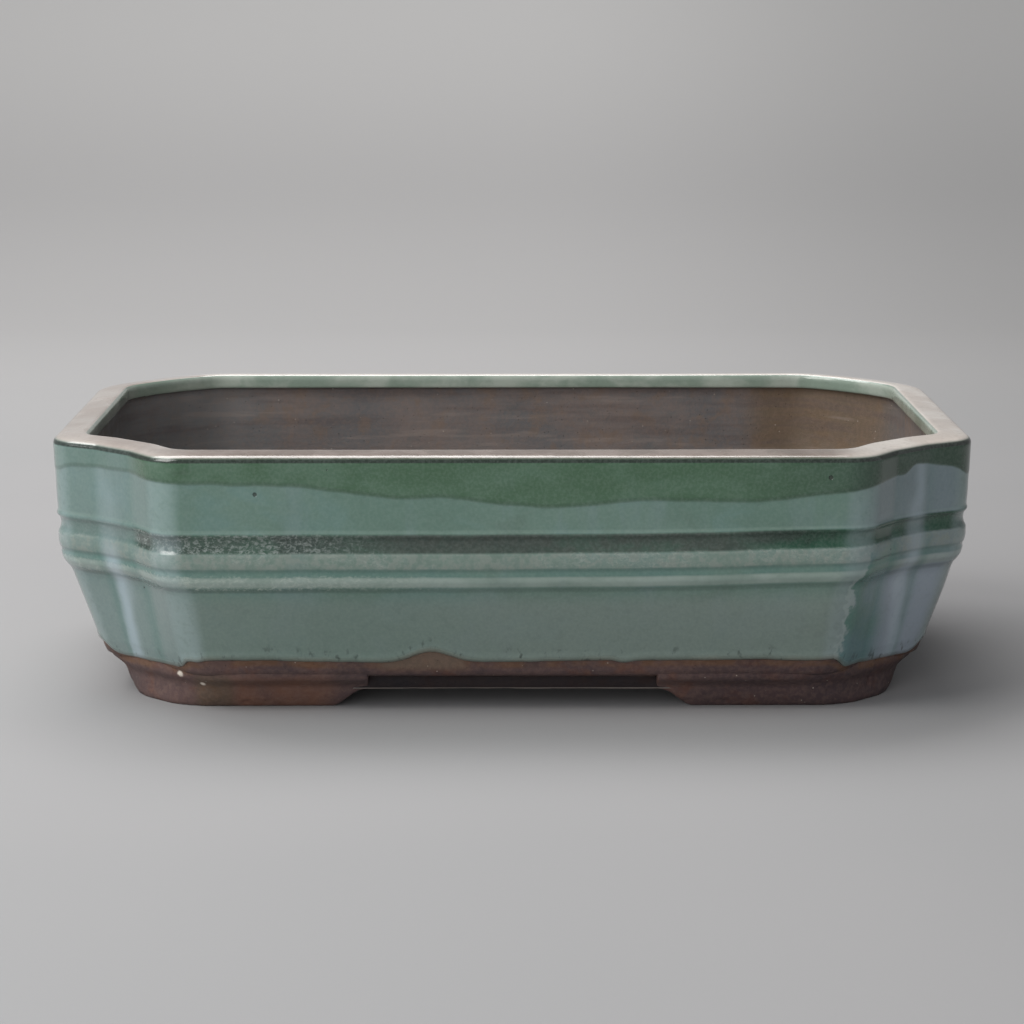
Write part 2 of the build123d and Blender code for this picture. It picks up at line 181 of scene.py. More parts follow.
def perimeter(z, inset, t, arcs, lines):
    """Points once round the outline, sampled alike at every height."""
    pts, radii = ring_poly(z, inset, t)
    n = 16
    starts, ends, centres, sweeps = [], [], [], []
    for i in range(n):
        q, a, b = pts[i], pts[i - 1], pts[(i + 1) % n]
        da = (a - q) / np.linalg.norm(a - q)
        db = (b - q) / np.linalg.norm(b - q)
        ang = math.acos(max(-1.0, min(1.0, float(da @ db))))
        tl = radii[i] / math.tan(ang / 2)
        ta, tb = q + da * tl, q + db * tl
        bis = da + db
        bl = np.linalg.norm(bis)
        c = q + bis / bl * (radii[i] / math.sin(ang / 2))
        a0 = math.atan2(ta[1] - c[1], ta[0] - c[0])
        a1 = math.atan2(tb[1] - c[1], tb[0] - c[0])
        d = (a1 - a0 + math.pi) % (2 * math.pi) - math.pi
        starts.append(ta)
        ends.append(tb)
        centres.append((c, radii[i], a0, d))
    out = []
    for i in range(n):
        c, r, a0, d = centres[i]
        th = a0 + d * np.arange(arcs[i]) / arcs[i]
        out.append(np.stack([c[0] + r * np.cos(th), c[1] + r * np.sin(th)], 1))
        k = np.arange(lines[i])[:, None] / lines[i]
        out.append(ends[i] + (starts[(i + 1) % n] - ends[i]) * k)
    return np.concatenate(out)


def wall_inset(z, column=1):
    zs = [w[0] for w in WALL]
    return np.interp(z, zs, [w[column] for w in WALL])


# ------------------------------------------------------------------- meshes
def make_mesh(name, verts_mm, faces, smooth=True, attrs=None):
    me = bpy.data.meshes.new(name)
    v = np.asarray(verts_mm, dtype=np.float32) / 1000.0
    faces = [list(map(int, f)) for f in faces] if not isinstance(
        faces, np.ndarray) else faces
    if isinstance(faces, np.ndarray):
        nf, k = faces.shape
        me.vertices.add(len(v))
        me.vertices.foreach_set("co", v.ravel())
        me.loops.add(nf * k)
        me.loops.foreach_set("vertex_index", faces.astype(np.int32).ravel())
        me.polygons.add(nf)
        me.polygons.foreach_set("loop_start",
                                np.arange(0, nf * k, k, dtype=np.int32))
        me.polygons.foreach_set("loop_total", np.full(nf, k, dtype=np.int32))
        me.update(calc_edges=True)
    else:
        me.from_pydata([tuple(x) for x in v], [], faces)
    me.validate()
    if smooth:
        me.polygons.foreach_set("use_smooth",
                                np.ones(len(me.polygons), dtype=bool))
    for key, val in (attrs or {}).items():
        a = me.attributes.new(key, "FLOAT", "POINT")
        a.data.foreach_set("value", np.asarray(val, dtype=np.float32))
    me.update()
    ob = bpy.data.objects.new(name, me)
    bpy.context.scene.collection.objects.link(ob)
    return ob


def tube_faces(rows, cols, closed_rows=True):
    """Quads of a grid whose columns wrap, and whose rows wrap if asked."""
    r = np.arange(rows if closed_rows else rows - 1)
    c = np.arange(cols)
    R, C = np.meshgrid(r, c, indexing="ij")
    R, C = R.ravel(), C.ravel()
    R2, C2 = (R + 1) % rows, (C + 1) % cols
    return np.stack([R * cols + C, R * cols + C2, R2 * cols + C2,
                     R2 * cols + C], 1)


def grid_normals(P):
    """Normals of a grid P (rows, cols, 3) whose columns wrap."""
    du = np.roll(P, -1, axis=1) - np.roll(P, 1, axis=1)
    dv = np.gradient(P, axis=0)
    n = np.cross(du, dv)
    return n / (np.linalg.norm(n, axis=2, keepdims=True) + 1e-12)


def resample(poly, step, smooth=0.0):
    """Resamples a polyline (N x k) evenly, then rounds its kinks."""
    poly = np.asarray(poly, dtype=float)
    xy = np.stack([poly[:, 0], poly[:, 1] + poly[:, 2]], 1)
    s = np.concatenate([[0], np.cumsum(np.linalg.norm(np.diff(xy, axis=0),
                                                      axis=1))])
    fine = np.arange(0, s[-1], 0.1)
    q = np.stack([np.interp(fine, s, poly[:, k]) for k in range(3)], 1)
    if smooth > 0:
        w = int(round(smooth / 0.1 * 3))
        ker = np.exp(-0.5 * (np.arange(-w, w + 1) * 0.1 / smooth) ** 2)
        ker /= ker.sum()
        pad = np.concatenate([2 * q[0] - q[w:0:-1], q, 2 * q[-1] - q[-2:-w - 2:-1]])
        q = np.stack([np.convolve(pad[:, k], ker, mode="valid")
                      for k in range(3)], 1)
    n = max(2, int(round(s[-1] / step)))
    idx = np.linspace(0, len(q) - 1, n + 1)
    return np.stack([np.interp(idx, np.arange(len(q)), q[:, k])
                     for k in range(3)], 1)


# --------------------------------------------------- rings at many heights
STEP = 1.0
ARCS, LINES = counts(STEP)
NC = sum(ARCS) + sum(LINES)
REF = perimeter(60.0, 0.0, 0.0, ARCS, LINES)
SX, SY = REF[:, 0], REF[:, 1]                     # where a column stands
PERIM = np.cumsum(np.concatenate([[0], np.linalg.norm(
    np.diff(np.vstack([REF, REF[:1]]), axis=0), axis=1)]))[:-1]


def sheet(rows):
    """rows: (z, inset, t) for every row, z, inset, t each a scalar."""
    out = np.zeros((len(rows), NC, 3))
    for k, (z, inset, t) in enumerate(rows):
        out[k, :, :2] = perimeter(z, inset, t, ARCS, LINES)
        out[k, :, 2] = z
    return out


# Plain outward direction of each column, used to push surfaces in and out.
_t = np.roll(REF, -2, axis=0) - np.roll(REF, 2, axis=0)
OUT2 = np.stack([_t[:, 1], -_t[:, 0]], 1)
OUT2 /= np.linalg.norm(OUT2, axis=1, keepdims=True)

# Signed curvature of the outline: positive on shoulders, negative in creases.
_ang = np.unwrap(np.arctan2(OUT2[:, 1], OUT2[:, 0]))
_turn = (np.roll(_ang, -3) - np.roll(_ang, 3)
         + np.where(np.roll(_ang, -3) - np.roll(_ang, 3) < -math.pi,
                    2 * math.pi, 0))
_ds = (np.roll(PERIM, -3) - np.roll(PERIM, 3)) % (PERIM[-1] + STEP)
CURV = _turn / _ds * 22.0


def around(v, width):
    """Smooths a per-column value along the outline (width in mm)."""
    w = int(3 * width / STEP)
    ker = np.exp(-0.5 * (np.arange(-w, w + 1) * STEP / width) ** 2)
    ker /= ker.sum()
    ext = np.concatenate([v[-w:], v, v[:w]])
    return np.convolve(ext, ker, mode="valid")


CURV = around(CURV, 3.4)
FRONT = (SY < 0).astype(float)
COL3 = np.stack([SX, SY, np.zeros(NC)], 1)
# 0 on the four faces, 1 across the corners
CORNER = around((((A - np.abs(SX)) < 36) & ((B - np.abs(SY)) < 36)).astype(
    float), 3.0)

# ------------------------------------------ lines the glaze follows, per column
Z_EDGE = (17.2 - 4.2 * CORNER
          + 0.8 * fbm(COL3 + [0, 0, 7], 38.0, 11, 2)
          + 0.55 * fbm(COL3, 9.0, 12, 3))
# a low bare place on the front, and one run that went further down
on_front = (SY < -B + 3).astype(float)
Z_EDGE += on_front * 3.4 * np.exp(-((SX + 28.0) / 8.5) ** 2)
Z_EDGE -= on_front * 0.9 * np.exp(-((SX - 38.5) / 3.2) ** 2)
Z_EDGE -= on_front * 1.1 * np.exp(-((SX + 110.0) / 3.0) ** 2)
# lower boundary of the thick band under the rim
DRIP_X = np.array([-151, -122, -110, -67, -37, -23, 5, 19, 40, 78, 109, 119,
                   124.5, 126.5, 129, 134, 151], dtype=float)
DRIP_Z = np.array([79.5, 79.0, 78.0, 77.0, 72.9, 73.7, 70.4, 70.3, 72.6, 71.9,
                   75.6, 77.2, 78.2, 76.6, 81.3, 82.2, 82.4], dtype=float)
front_line = np.interp(SX, DRIP_X, DRIP_Z)
other_line = (75.5 + 4.0 * fbm(COL3, 75.0, 21, 2) + 2.6 * CORNER)
w_front = smoothstep(-B + 40, -B + 16, SY)
Z_DRIP = around(front_line * w_front + other_line * (1 - w_front), 2.2)
Z_DRIP += 0.45 * fbm(COL3, 7.0, 23, 3)
# hand-drawn belt and bead: their height wanders a little
WANDER = 0.30 * fbm(COL3, 46.0, 31, 2) + 0.12 * fbm(COL3, 12.0, 32, 2)
# the two lines climb a little toward the right-hand end of the front
WANDER += around(np.interp(SX, [15, 60, 75, 90, 106, 125, 151],
                           [0.0, 0.45, 0.85, 1.35, 1.7, 1.8, 1.5])
                 * smoothstep(20.0, -70.0, SY), 4.0)


def window(z):
    return smoothstep(34.0, 43.0, z) * (1 - smoothstep(61.0, 68.0, z))


# ------------------------------------------------------------- glaze coat
def glaze_shell():
    outer = [(z, i, 0.0) for z, i in GLAZE if z >= 16.9]
    outer += [(85.1, 0.2, 0.0), (85.75, 0.45, 0.1), (86.25, 0.75, 0.45),
              (86.6, 0.95, 1.1), (86.8, 0.8, 2.3), (87.0, 0.4, 4.2),
              (87.25, 0.1, 7.4), (87.4, 0.0, 9.8), (87.33, 0.0, 10.6),
              (87.0, 0.0, 11.3), (86.4, 0.0, 11.8), (85.6, 0.0, 12.0),
              (82.7, 0.0, 12.0), (82.2, 0.0, 11.85), (82.0, 0.0, 11.45)]
    low = resample([p for p in outer if p[0] <= 40.5 and p[1] > 4.7],
                   0.9, 0.3)
    # keep the mid profile crisp enough to read as a drawn line
    rest = [p for p in outer if not (p[0] < 40.5 and p[1] > 4.8)]
    high = resample(rest, 0.5, 0.42)
    rows = np.concatenate([low[:-1], high])
    P = sheet([tuple(r) for r in rows])
    nr = len(rows)
    z0 = np.repeat(rows[:, 0][:, None], NC, 1)
    # the bottom 8 mm is stretched down or up to the glaze's own edge
    zlow = rows[0][0]
    fine = np.arange(11.5, 27.01, 0.5)
    stack = sheet([(z, float(np.interp(z, [g[0] for g in GLAZE],
                                       [g[1] for g in GLAZE])), 0.0)
                   for z in fine])
    for k in range(nr):
        z = rows[k][0]
        if z < 26.0:
            target = Z_EDGE + (z - zlow) * (26.0 - Z_EDGE) / (26.0 - zlow)
            f = np.clip((target - fine[0]) / 0.5, 0, len(fine) - 1.001)
            i = f.astype(int)
            fr = (f - i)[:, None]
            cols = np.arange(NC)
            P[k] = stack[i, cols] * (1 - fr) + stack[i + 1, cols] * fr
    z1 = P[:, :, 2].copy()
    top = smoothstep(85.4, 86.5, z0) * np.ones_like(z0)
    inner = np.zeros_like(z0)
    inner[rows[:, 2] > 10.9] = 1.0
    # wandering belt and bead
    P[:, :, 2] += WANDER[None, :] * window(z0)
    flat = P.reshape(-1, 3)
    n = grid_normals(P)
    # make sure normals look out of the coat
    mid = n[nr // 3]
    if np.mean(np.sum(mid[:, :2] * OUT2, axis=1)) < 0:
        n = -n
    nf = n.reshape(-1, 3)
    warp = 0.16 * fbm(flat, (80, 80, 34), 41, 2) - 0.16
    warp += 0.05 * fbm(flat, 11.0, 42, 3) - 0.05
    fill = np.exp(-((z1.reshape(-1) - 57.8) / 1.8) ** 2)
    warp += 0.45 * fill * np.tile(CORNER, nr)
    # the coat is thicker in the band under the rim, with a soft lip below it
    drip = (z1 - Z_DRIP[None, :]).reshape(-1)
    side = 1 - np.clip(top.reshape(-1) + inner.reshape(-1), 0, 1)
    warp -= 0.16 * (1 - smoothstep(-0.9, 0.5, drip)) * side
    drop = np.exp(-((flat[:, 0] + 105.5) / 2.6) ** 2
                  - ((flat[:, 2] - 82.6) / 1.3) ** 2) * (flat[:, 1] < -B + 5)
    warp += 0.55 * drop
    # rolled, swollen lower edge
    edge = (z1 - Z_EDGE[None, :]).reshape(-1)
    bead = np.exp(-((edge - 1.4) / 1.3) ** 2) * (
        0.28 + 0.22 * fbm(flat, 13.0, 44, 2))
    warp += bead * side
    tuck = np.clip(1 - edge / 0.9, 0, 1)
    warp -= 0.62 * (1 - np.sqrt(np.clip(1 - tuck ** 2, 0, 1))) * side
    P = (flat + nf * warp[:, None]).reshape(P.shape)
    # inner side of the coat, hidden against the clay
    idx = [k for k in range(nr) if rows[k][0] < 84.0 and rows[k][2] < 1.0]
    idx = idx[::-3]
    back_rows = [(84.6, 0.0, 11.25), (86.3, 0.0, 10.8), (86.0, 0.4, 4.0),
                 (85.2, 0.8, 1.2)]
    Q = [sheet([r])[0] for r in back_rows]
    base = P
    for k in idx:
        q = base[k].copy()
        q[:, :2] -= OUT2 * 0.72
        q[:, 2] += 0.12 * (1 - smoothstep(0, 6, q[:, 2] - Z_EDGE))
        Q.append(q)
    Q = np.array(Q)
    ALL = np.concatenate([P, Q])
    ALL[:, :, 2] = np.minimum(ALL[:, :, 2], Z_CREST)
    ALL[:, :, 0] = np.clip(ALL[:, :, 0], -A, A)
    ALL[:, :, 1] = np.clip(ALL[:, :, 1], -B, B)
    faces = tube_faces(len(ALL), NC, True)
    m = len(Q)

    def ext(a, fill=0.0):
        return np.concatenate([a.reshape(nr, NC),
                               np.full((m, NC), fill)]).ravel()
    attrs = {
        "drip": ext(drip, -20.0),
        "edge": ext(edge, 30.0),
        "belt": ext((P[:, :, 2] - WANDER[None, :] * window(z0))),
        "curv": ext(np.repeat(CURV[None, :], nr, 0)),
        "corner": ext(np.repeat(CORNER[None, :], nr, 0)),
        "top": ext(top),
        "inner": ext(inner),
        "across": ext(np.repeat(np.where(SY < 0, A - np.abs(SX), 90.0)[None, :],
                                nr, 0), 90.0),
    }
    return ALL, faces, attrs


def orient(ob):
    """Makes every face look outward."""
    import bmesh
    bm = bmesh.new()
    bm.from_mesh(ob.data)
    bmesh.ops.recalc_face_normals(bm, faces=bm.faces)
    bm.to_mesh(ob.data)
    bm.free()
    ob.data.update()
    return ob


G, GF, GA = glaze_shell()
glaze = make_mesh("glaze_coat_fired", G.reshape(-1, 3), GF, True, GA)
orient(glaze)


# ------------------------------------------------------- clay of the walls
def clay_rows():
    out = resample([(z, o, 0.0) for z, o, _ in WALL], 1.6, 0.5)
    inn = resample([(z, i, WALL_T) for z, _, i in WALL[::-1]], 1.6, 0.5)
    out[0, 0] = inn[-1, 0] = Z_BODY
    out[-1, 0] = inn[0, 0] = Z_LIP
    return np.concatenate([out, inn]), len(out)


C_ROWS, N_OUT = clay_rows()
CLAY = sheet([tuple(r) for r in C_ROWS])
# eased bottom edge of the body
flat = CLAY.reshape(-1, 3)
dirs = np.zeros_like(CLAY)
dirs[:N_OUT, :, :2] = OUT2[None]
dirs[N_OUT:, :, :2] = -OUT2[None]
disp = 0.14 * fbm(flat, (60, 60, 30), 51, 2) - 0.10
fine_n = 0.10 * fbm(flat, 7.0, 52, 3) + 0.05 * fbm(flat, 2.2, 53, 2)
# tool marks drawn along the inside of the wall
marks = 0.13 * fbm(flat, (42.0, 42.0, 2.6), 54, 3)
is_in = np.zeros(CLAY.shape[:2])
is_in[N_OUT:] = 1.0
is_in = is_in.ravel()
near_top = smoothstep(70, 80, flat[:, 2]) * (1 - is_in)
disp = disp + fine_n * (0.5 + 0.8 * is_in) + marks * is_in
covered = np.tile(Z_EDGE, len(CLAY))
covered = smoothstep(0.0, 3.0, flat[:, 2] - covered)
disp = np.where(is_in > 0, disp + 0.05,
                np.minimum(disp, 0.12) * (1 - covered) - 0.22 * covered)
disp *= 1 - 0.7 * near_top
# stays flat where it meets the lip and the floor
CLAY = (flat + dirs.reshape(-1, 3) * disp[:, None]).reshape(CLAY.shape)
CLAY[:N_OUT, :, :2] -= OUT2[None] * (
    0.7 * np.clip((13.2 - CLAY[:N_OUT, :, 2:3]) / 1.2, 0, 1) ** 2)

below = (CLAY[:, :, 2] - Z_EDGE[None, :])


def u_of(k):
    return A - abs(SX[k]), B - abs(SY[k])


def clay_piece(name, node, keep):
    """One wall or corner: the columns for which keep is true, in order."""
    keep = np.asarray(keep)
    start = [k for k in range(NC) if keep[k] and not keep[k - 1]][0]
    cols = []
    k = start
    while keep[k % NC] and len(cols) < NC:
        cols.append(k % NC)
        k += 1
    cols.append(k % NC)           # shares its last column with the next piece
    S = CLAY[:, cols]
    r, c = S.shape[:2]
    verts = S.reshape(-1, 3)
    R, C = np.meshgrid(np.arange(r), np.arange(c - 1), indexing="ij")
    R, C = R.ravel(), C.ravel()
    R2 = (R + 1) % r
    faces = np.stack([R * c + C, R * c + C + 1, R2 * c + C + 1, R2 * c + C], 1)
    caps = []
    half = N_OUT
    m = min(half, r - half)
    for j in (0, c - 1):
        a = np.linspace(0, half - 1, m).astype(int)
        b = np.linspace(r - 1, half, m).astype(int)
        for x in range(m - 1):
            caps.append([a[x] * c + j, a[x + 1] * c + j, b[x + 1] * c + j,
                         b[x] * c + j])
    faces = np.concatenate([faces, np.array(caps)])
    att = {"edge": below[:, cols].ravel(),
           "inner": np.concatenate([np.zeros((N_OUT, c)),
                                    np.ones((r - N_OUT, c))]).ravel()}
    ob = make_mesh(name, verts, faces, True, att)
    orient(ob)
    ob.data.set_sharp_from_angle(angle=math.radians(50))
    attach(ob, "root")
    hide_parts(node)
    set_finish(ob, "clay")
    return ob


ABS_X, ABS_Y = np.abs(SX), np.abs(SY)
for sx, sy, tag in ((-1, -1, "front_left"), (1, -1, "front_right"),
                    (-1, 1, "back_left"), (1, 1, "back_right")):
    clay_piece(f"corner_{tag}_clay", f"corner_{tag}",
               (SX * sx > A - C_END) & (SY * sy > B - C_END))
for sy, tag in ((-1, "front"), (1, "back")):
    clay_piece(f"wall_{tag}_clay", f"wall_{tag}",
               (ABS_X <= A - C_END) & (SY * sy > 0))
for sx, tag in ((-1, "left"), (1, "right")):
    clay_piece(f"wall_{tag}_clay", f"wall_{tag}",
               (ABS_Y <= B - C_END) & (SX * sx > 0))


def ring_piece(name, node, P, disp=None, attrs=None):
    """A closed ring from rows (rows, NC, 3) that run once round its section."""
    V = P.reshape(-1, 3)
    if disp is not None:
        n = grid_normals(np.concatenate([P[-1:], P, P[:1]]))[1:-1]
        V = V + n.reshape(-1, 3) * disp[:, None]
    ob = make_mesh(name, V, tube_faces(len(P), NC, True), True, attrs or {})
    orient(ob)
    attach(ob, "root")
    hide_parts(node)
    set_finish(ob, "clay")
    return ob


def section(points, step, rnd):
    """Closed section resampled: (z, inset, t) triples, first point repeated."""
    return resample(points + [points[0]], step, rnd)[:-1]


# Lip strip, belt and bead: the clay under the coat.
LIP_ROWS = section([(82.0, 0.95, 0.0), (84.7, 0.9, 0.0), (85.7, 1.6, 0.3),
                    (86.0, 1.0, 2.0), (86.6, 0.0, 10.6), (86.45, 0.0, 11.2),
                    (85.9, 0.0, 11.3), (82.4, 0.0, 11.3), (82.05, 0.0, 11.0),
                    (82.0, 0.0, 9.0), (82.0, 0.0, 4.0)], 0.8, 0.25)
LIP = sheet([tuple(r) for r in LIP_ROWS])
ring_piece("lip_strip_clay", "lip_strip", LIP,
           attrs={"edge": np.full(LIP.shape[0] * NC, 30.0),
                  "inner": np.zeros(LIP.shape[0] * NC)})


def under_coat(z_low, z_high, depth):
    """Rows of the coat's free surface between two heights, sunk by depth."""
    rows = [(z, float(np.interp(z, [g[0] for g in GLAZE],
                                [g[1] for g in GLAZE])) + depth, 0.0)
            for z in np.linspace(z_low, z_high, int((z_high - z_low) / 0.7) + 2)]
    back = [(z, float(wall_inset(z)) + 0.35, 0.0)
            for z in np.linspace(z_high, z_low, 6)]
    P = sheet(rows + back)
    P[:, :, 2] += WANDER[None, :] * window(P[:, :, 2])
    return P


for name, node, zl, zh in (("belt_band_clay", "belt_band", 42.6, 55.2),
                           ("string_bead_clay", "string_bead", 59.9, 62.0)):
    P = under_coat(zl, zh, 0.68)
    fl = P.reshape(-1, 3)
    ring_piece(name, node, P, disp=0.06 * fbm(fl, 8.0, 95, 2) - 0.08,
               attrs={"edge": np.full(len(fl), 30.0),
                      "inner": np.zeros(len(fl))})

# Coil pressed into the joint between floor and walls, with finger marks.
coil_rows = section([(12.0, 17.0, 7.4), (12.0, 17.0, 11.0), (12.0, 17.0, 15.0),
                     (12.5, 16.8, 13.2), (13.2, 16.5, 11.9), (14.3, 16.0, 10.7),
                     (15.6, 15.5, 9.8), (17.6, 14.7, 8.9), (20.0, 13.8, 8.2),
                     (20.3, 13.6, 7.6), (18.0, 14.6, 7.5), (15.0, 15.8, 7.5)],
                    0.9, 0.35)
COIL = sheet([tuple(r) for r in coil_rows])
COIL[:, :, 2] = np.maximum(COIL[:, :, 2], 12.0)
fl = COIL.reshape(-1, 3)
step_mark = PERIM / 14.5
finger = np.abs(((step_mark + 0.35 * noise(COL3, 21.0, 61)) % 1.0) - 0.5) * 2
finger = np.tile(finger ** 2.0, len(COIL))
amount = smoothstep(12.2, 14.0, fl[:, 2]) * (1 - smoothstep(19.3, 20.2, fl[:, 2]))
n = grid_normals(np.concatenate([COIL[-1:], COIL, COIL[:1]]))[1:-1]
inward = -np.sum(n[:, :, :2] * OUT2[None], axis=2).reshape(-1)
face_in = smoothstep(0.1, 0.5, inward)
if np.mean(inward[(fl[:, 2] > 14) & (fl[:, 2] < 19)]) < 0:
    n, face_in = n, smoothstep(0.1, 0.5, -inward)
towards = np.stack([-np.tile(OUT2[:, 0], len(COIL)),
                    -np.tile(OUT2[:, 1], len(COIL)),
                    np.full(len(fl), 0.6)], 1)
fl = fl + towards * (amount * (0.75 * finger - 0.25
                               + 0.15 * fbm(fl, 6.0, 62, 2)))[:, None] * 0.9
fl[:, 2] = np.maximum(fl[:, 2], 12.0)
ring_piece("seam_coil_clay", "seam_coil", fl.reshape(COIL.shape),
           attrs={"edge": np.full(len(fl), -30.0), "inner": np.ones(len(fl))})


# ------------------------------------------------- feet and floor, remeshed
def evaluated(node, voxel_mm, smooth_iter, smooth_factor=0.5):
    """Vertices and quads of a CAD node's shape with evened-out faces."""
    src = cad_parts[node]
    ob = bpy.data.objects.new("tmp_" + node, src.data.copy())
    bpy.context.scene.collection.objects.link(ob)
    weld = ob.modifiers.new("weld", "WELD")
    weld.merge_threshold = 1e-6
    rm = ob.modifiers.new("voxels", "REMESH")
    rm.mode = "VOXEL"
    rm.voxel_size = voxel_mm / 1000.0
    if smooth_iter:
        sm = ob.modifiers.new("smooth", "SMOOTH")
        sm.factor = smooth_factor
        sm.iterations = smooth_iter
    dg = bpy.context.evaluated_depsgraph_get()
    me = bpy.data.meshes.new_from_object(ob.evaluated_get(dg))
    co = np.zeros(len(me.vertices) * 3, np.float32)
    no = np.zeros(len(me.vertices) * 3, np.float32)
    me.vertices.foreach_get("co", co)
    me.vertices.foreach_get("normal", no)
    faces = [tuple(p.vertices) for p in me.polygons]
    bpy.data.objects.remove(ob)
    bpy.data.meshes.remove(me)
    return (co.reshape(-1, 3).astype(float) * 1000.0,
            no.reshape(-1, 3).astype(float), faces)


def nearest_column(xy):
    out = np.zeros(len(xy), dtype=int)
    for k in range(0, len(xy), 4000):
        d = ((xy[k:k + 4000, None, :] - REF[None, :, :]) ** 2).sum(2)
        out[k:k + 4000] = d.argmin(1)
    return out


for tag in ("front_left", "front_right", "back_left", "back_right"):
    node = f"foot_{tag}"
    v, n, faces = evaluated(node, 0.9, 4)
    seed = 71 + 5 * len(tag) + (7 if "left" in tag else 0)
    sgn = 1 - smoothstep(10.5, 12.0, v[:, 2])
    d = (0.30 * fbm(v, 24.0, seed, 2) + 0.16 * fbm(v, 7.0, seed + 1, 3)
         + 0.07 * fbm(v, 2.4, seed + 2, 2) - 0.12)
    pits = np.clip(noise(v, 3.4, seed + 3) - 0.62, 0, 1) * 1.3
    d = (d - pits) * (0.35 + 0.65 * sgn) * smoothstep(-0.2, 1.4, v[:, 2])
    v = v + n * d[:, None]
    # the top is worked up onto the underside of the body
    col = nearest_column(v[:, :2])
    rise = smoothstep(7.0, 11.9, v[:, 2])
    facing = np.clip(np.sum(n[:, :2] * OUT2[col], axis=1) * 2.5, 0, 1)
    edge_of = np.sum((REF[col] - v[:, :2]) * OUT2[col], axis=1)
    facing = np.maximum(facing, (edge_of < 19.6) * rise)
    v[:, :2] += OUT2[col] * (2.7 * rise * facing
                             * smoothstep(26.0, 20.0, edge_of))[:, None]
    k = smoothstep(11.0, 11.9, v[:, 2])
    v[:, 2] += (1.2 + 2.0 * smoothstep(24.0, 22.5, edge_of)) * k
    v[:, 2] = np.maximum(v[:, 2], 0.0)
    flat_low = smoothstep(0.55, 0.0, v[:, 2])
    v[:, 2] *= 1 - flat_low
    ob = make_mesh(f"{node}_clay", v, faces, True,
                   {"edge": v[:, 2] - Z_EDGE[col], "inner": np.zeros(len(v))})
    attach(ob, "root")
    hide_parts(node)
    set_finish(ob, "clay")

def ogee(z, low, high):
    return low + (high - low) * smoothstep(0.0, 12.0, z)


v, n, faces = evaluated("floor_slab", 1.1, 3)
ax, ay = np.abs(v[:, 0]), np.abs(v[:, 1])
end_x = smoothstep(43.5, 46.0, ax) * (ay > B - 30) * (ax < 48)
v[:, 0] += np.sign(v[:, 0]) * end_x * (ogee(v[:, 2], 60.0, 46.5) - 46.1)
end_y = smoothstep(17.0, 19.5, ay) * (ax > A - 30) * (ay < 21.5)
v[:, 1] += np.sign(v[:, 1]) * end_y * (ogee(v[:, 2], 33.0, 20.0) - 19.6)
d = (0.16 * fbm(v, 30.0, 91, 2) + 0.10 * fbm(v, 6.0, 92, 3) - 0.10)
v = v + n * d[:, None]
slab = make_mesh("floor_slab_clay", v, faces, True,
                 {"edge": np.full(len(v), -30.0),
                  "inner": smoothstep(11.0, 11.8, v[:, 2])})
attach(slab, "root")
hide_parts("floor_slab")
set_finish(slab, "clay")


# ------------------------------------------------------- net and wire clips
def tube(path, radius, sides=12, squash_z=1.0, closed=False):
    """Sweeps a round section along path (N x 3); returns vertices, faces."""
    path = np.asarray(path, dtype=float)
    tan = np.gradient(path, axis=0)
    tan /= np.linalg.norm(tan, axis=1, keepdims=True)
    ref = np.array([0.0, 1.0, 0.0])
    if abs(tan[0] @ ref) > 0.9:
        ref = np.array([0.0, 0.0, 1.0])
    a = np.cross(tan[0], ref)
    a /= np.linalg.norm(a)
    verts = []
    for k, t in enumerate(tan):
        a = a - (a @ t) * t
        a /= np.linalg.norm(a)
        b = np.cross(t, a)
        th = 2 * np.pi * np.arange(sides) / sides
        r = radius if np.isscalar(radius) else radius[k]
        ringv = path[k] + r * (np.cos(th)[:, None] * a + np.sin(th)[:, None] * b)
        ringv[:, 2] = path[k, 2] + (ringv[:, 2] - path[k, 2]) * squash_z
        verts.append(ringv)
    N = len(path)
    verts = np.concatenate(verts)
    faces = []
    for k in range(N - 1):
        for j in range(sides):
            j2 = (j + 1) % sides
            faces.append((k * sides + j, k * sides + j2,
                          (k + 1) * sides + j2, (k + 1) * sides + j))
    faces.append(tuple(range(sides))[::-1])
    faces.append(tuple((N - 1) * sides + j for j in range(sides)))
    return verts, faces


def join(parts):
    V, F, base = [], [], 0
    for v, f in parts:
        V.append(v)
        F += [tuple(i + base for i in face) for face in f]
        base += len(v)
    return np.concatenate(V), F


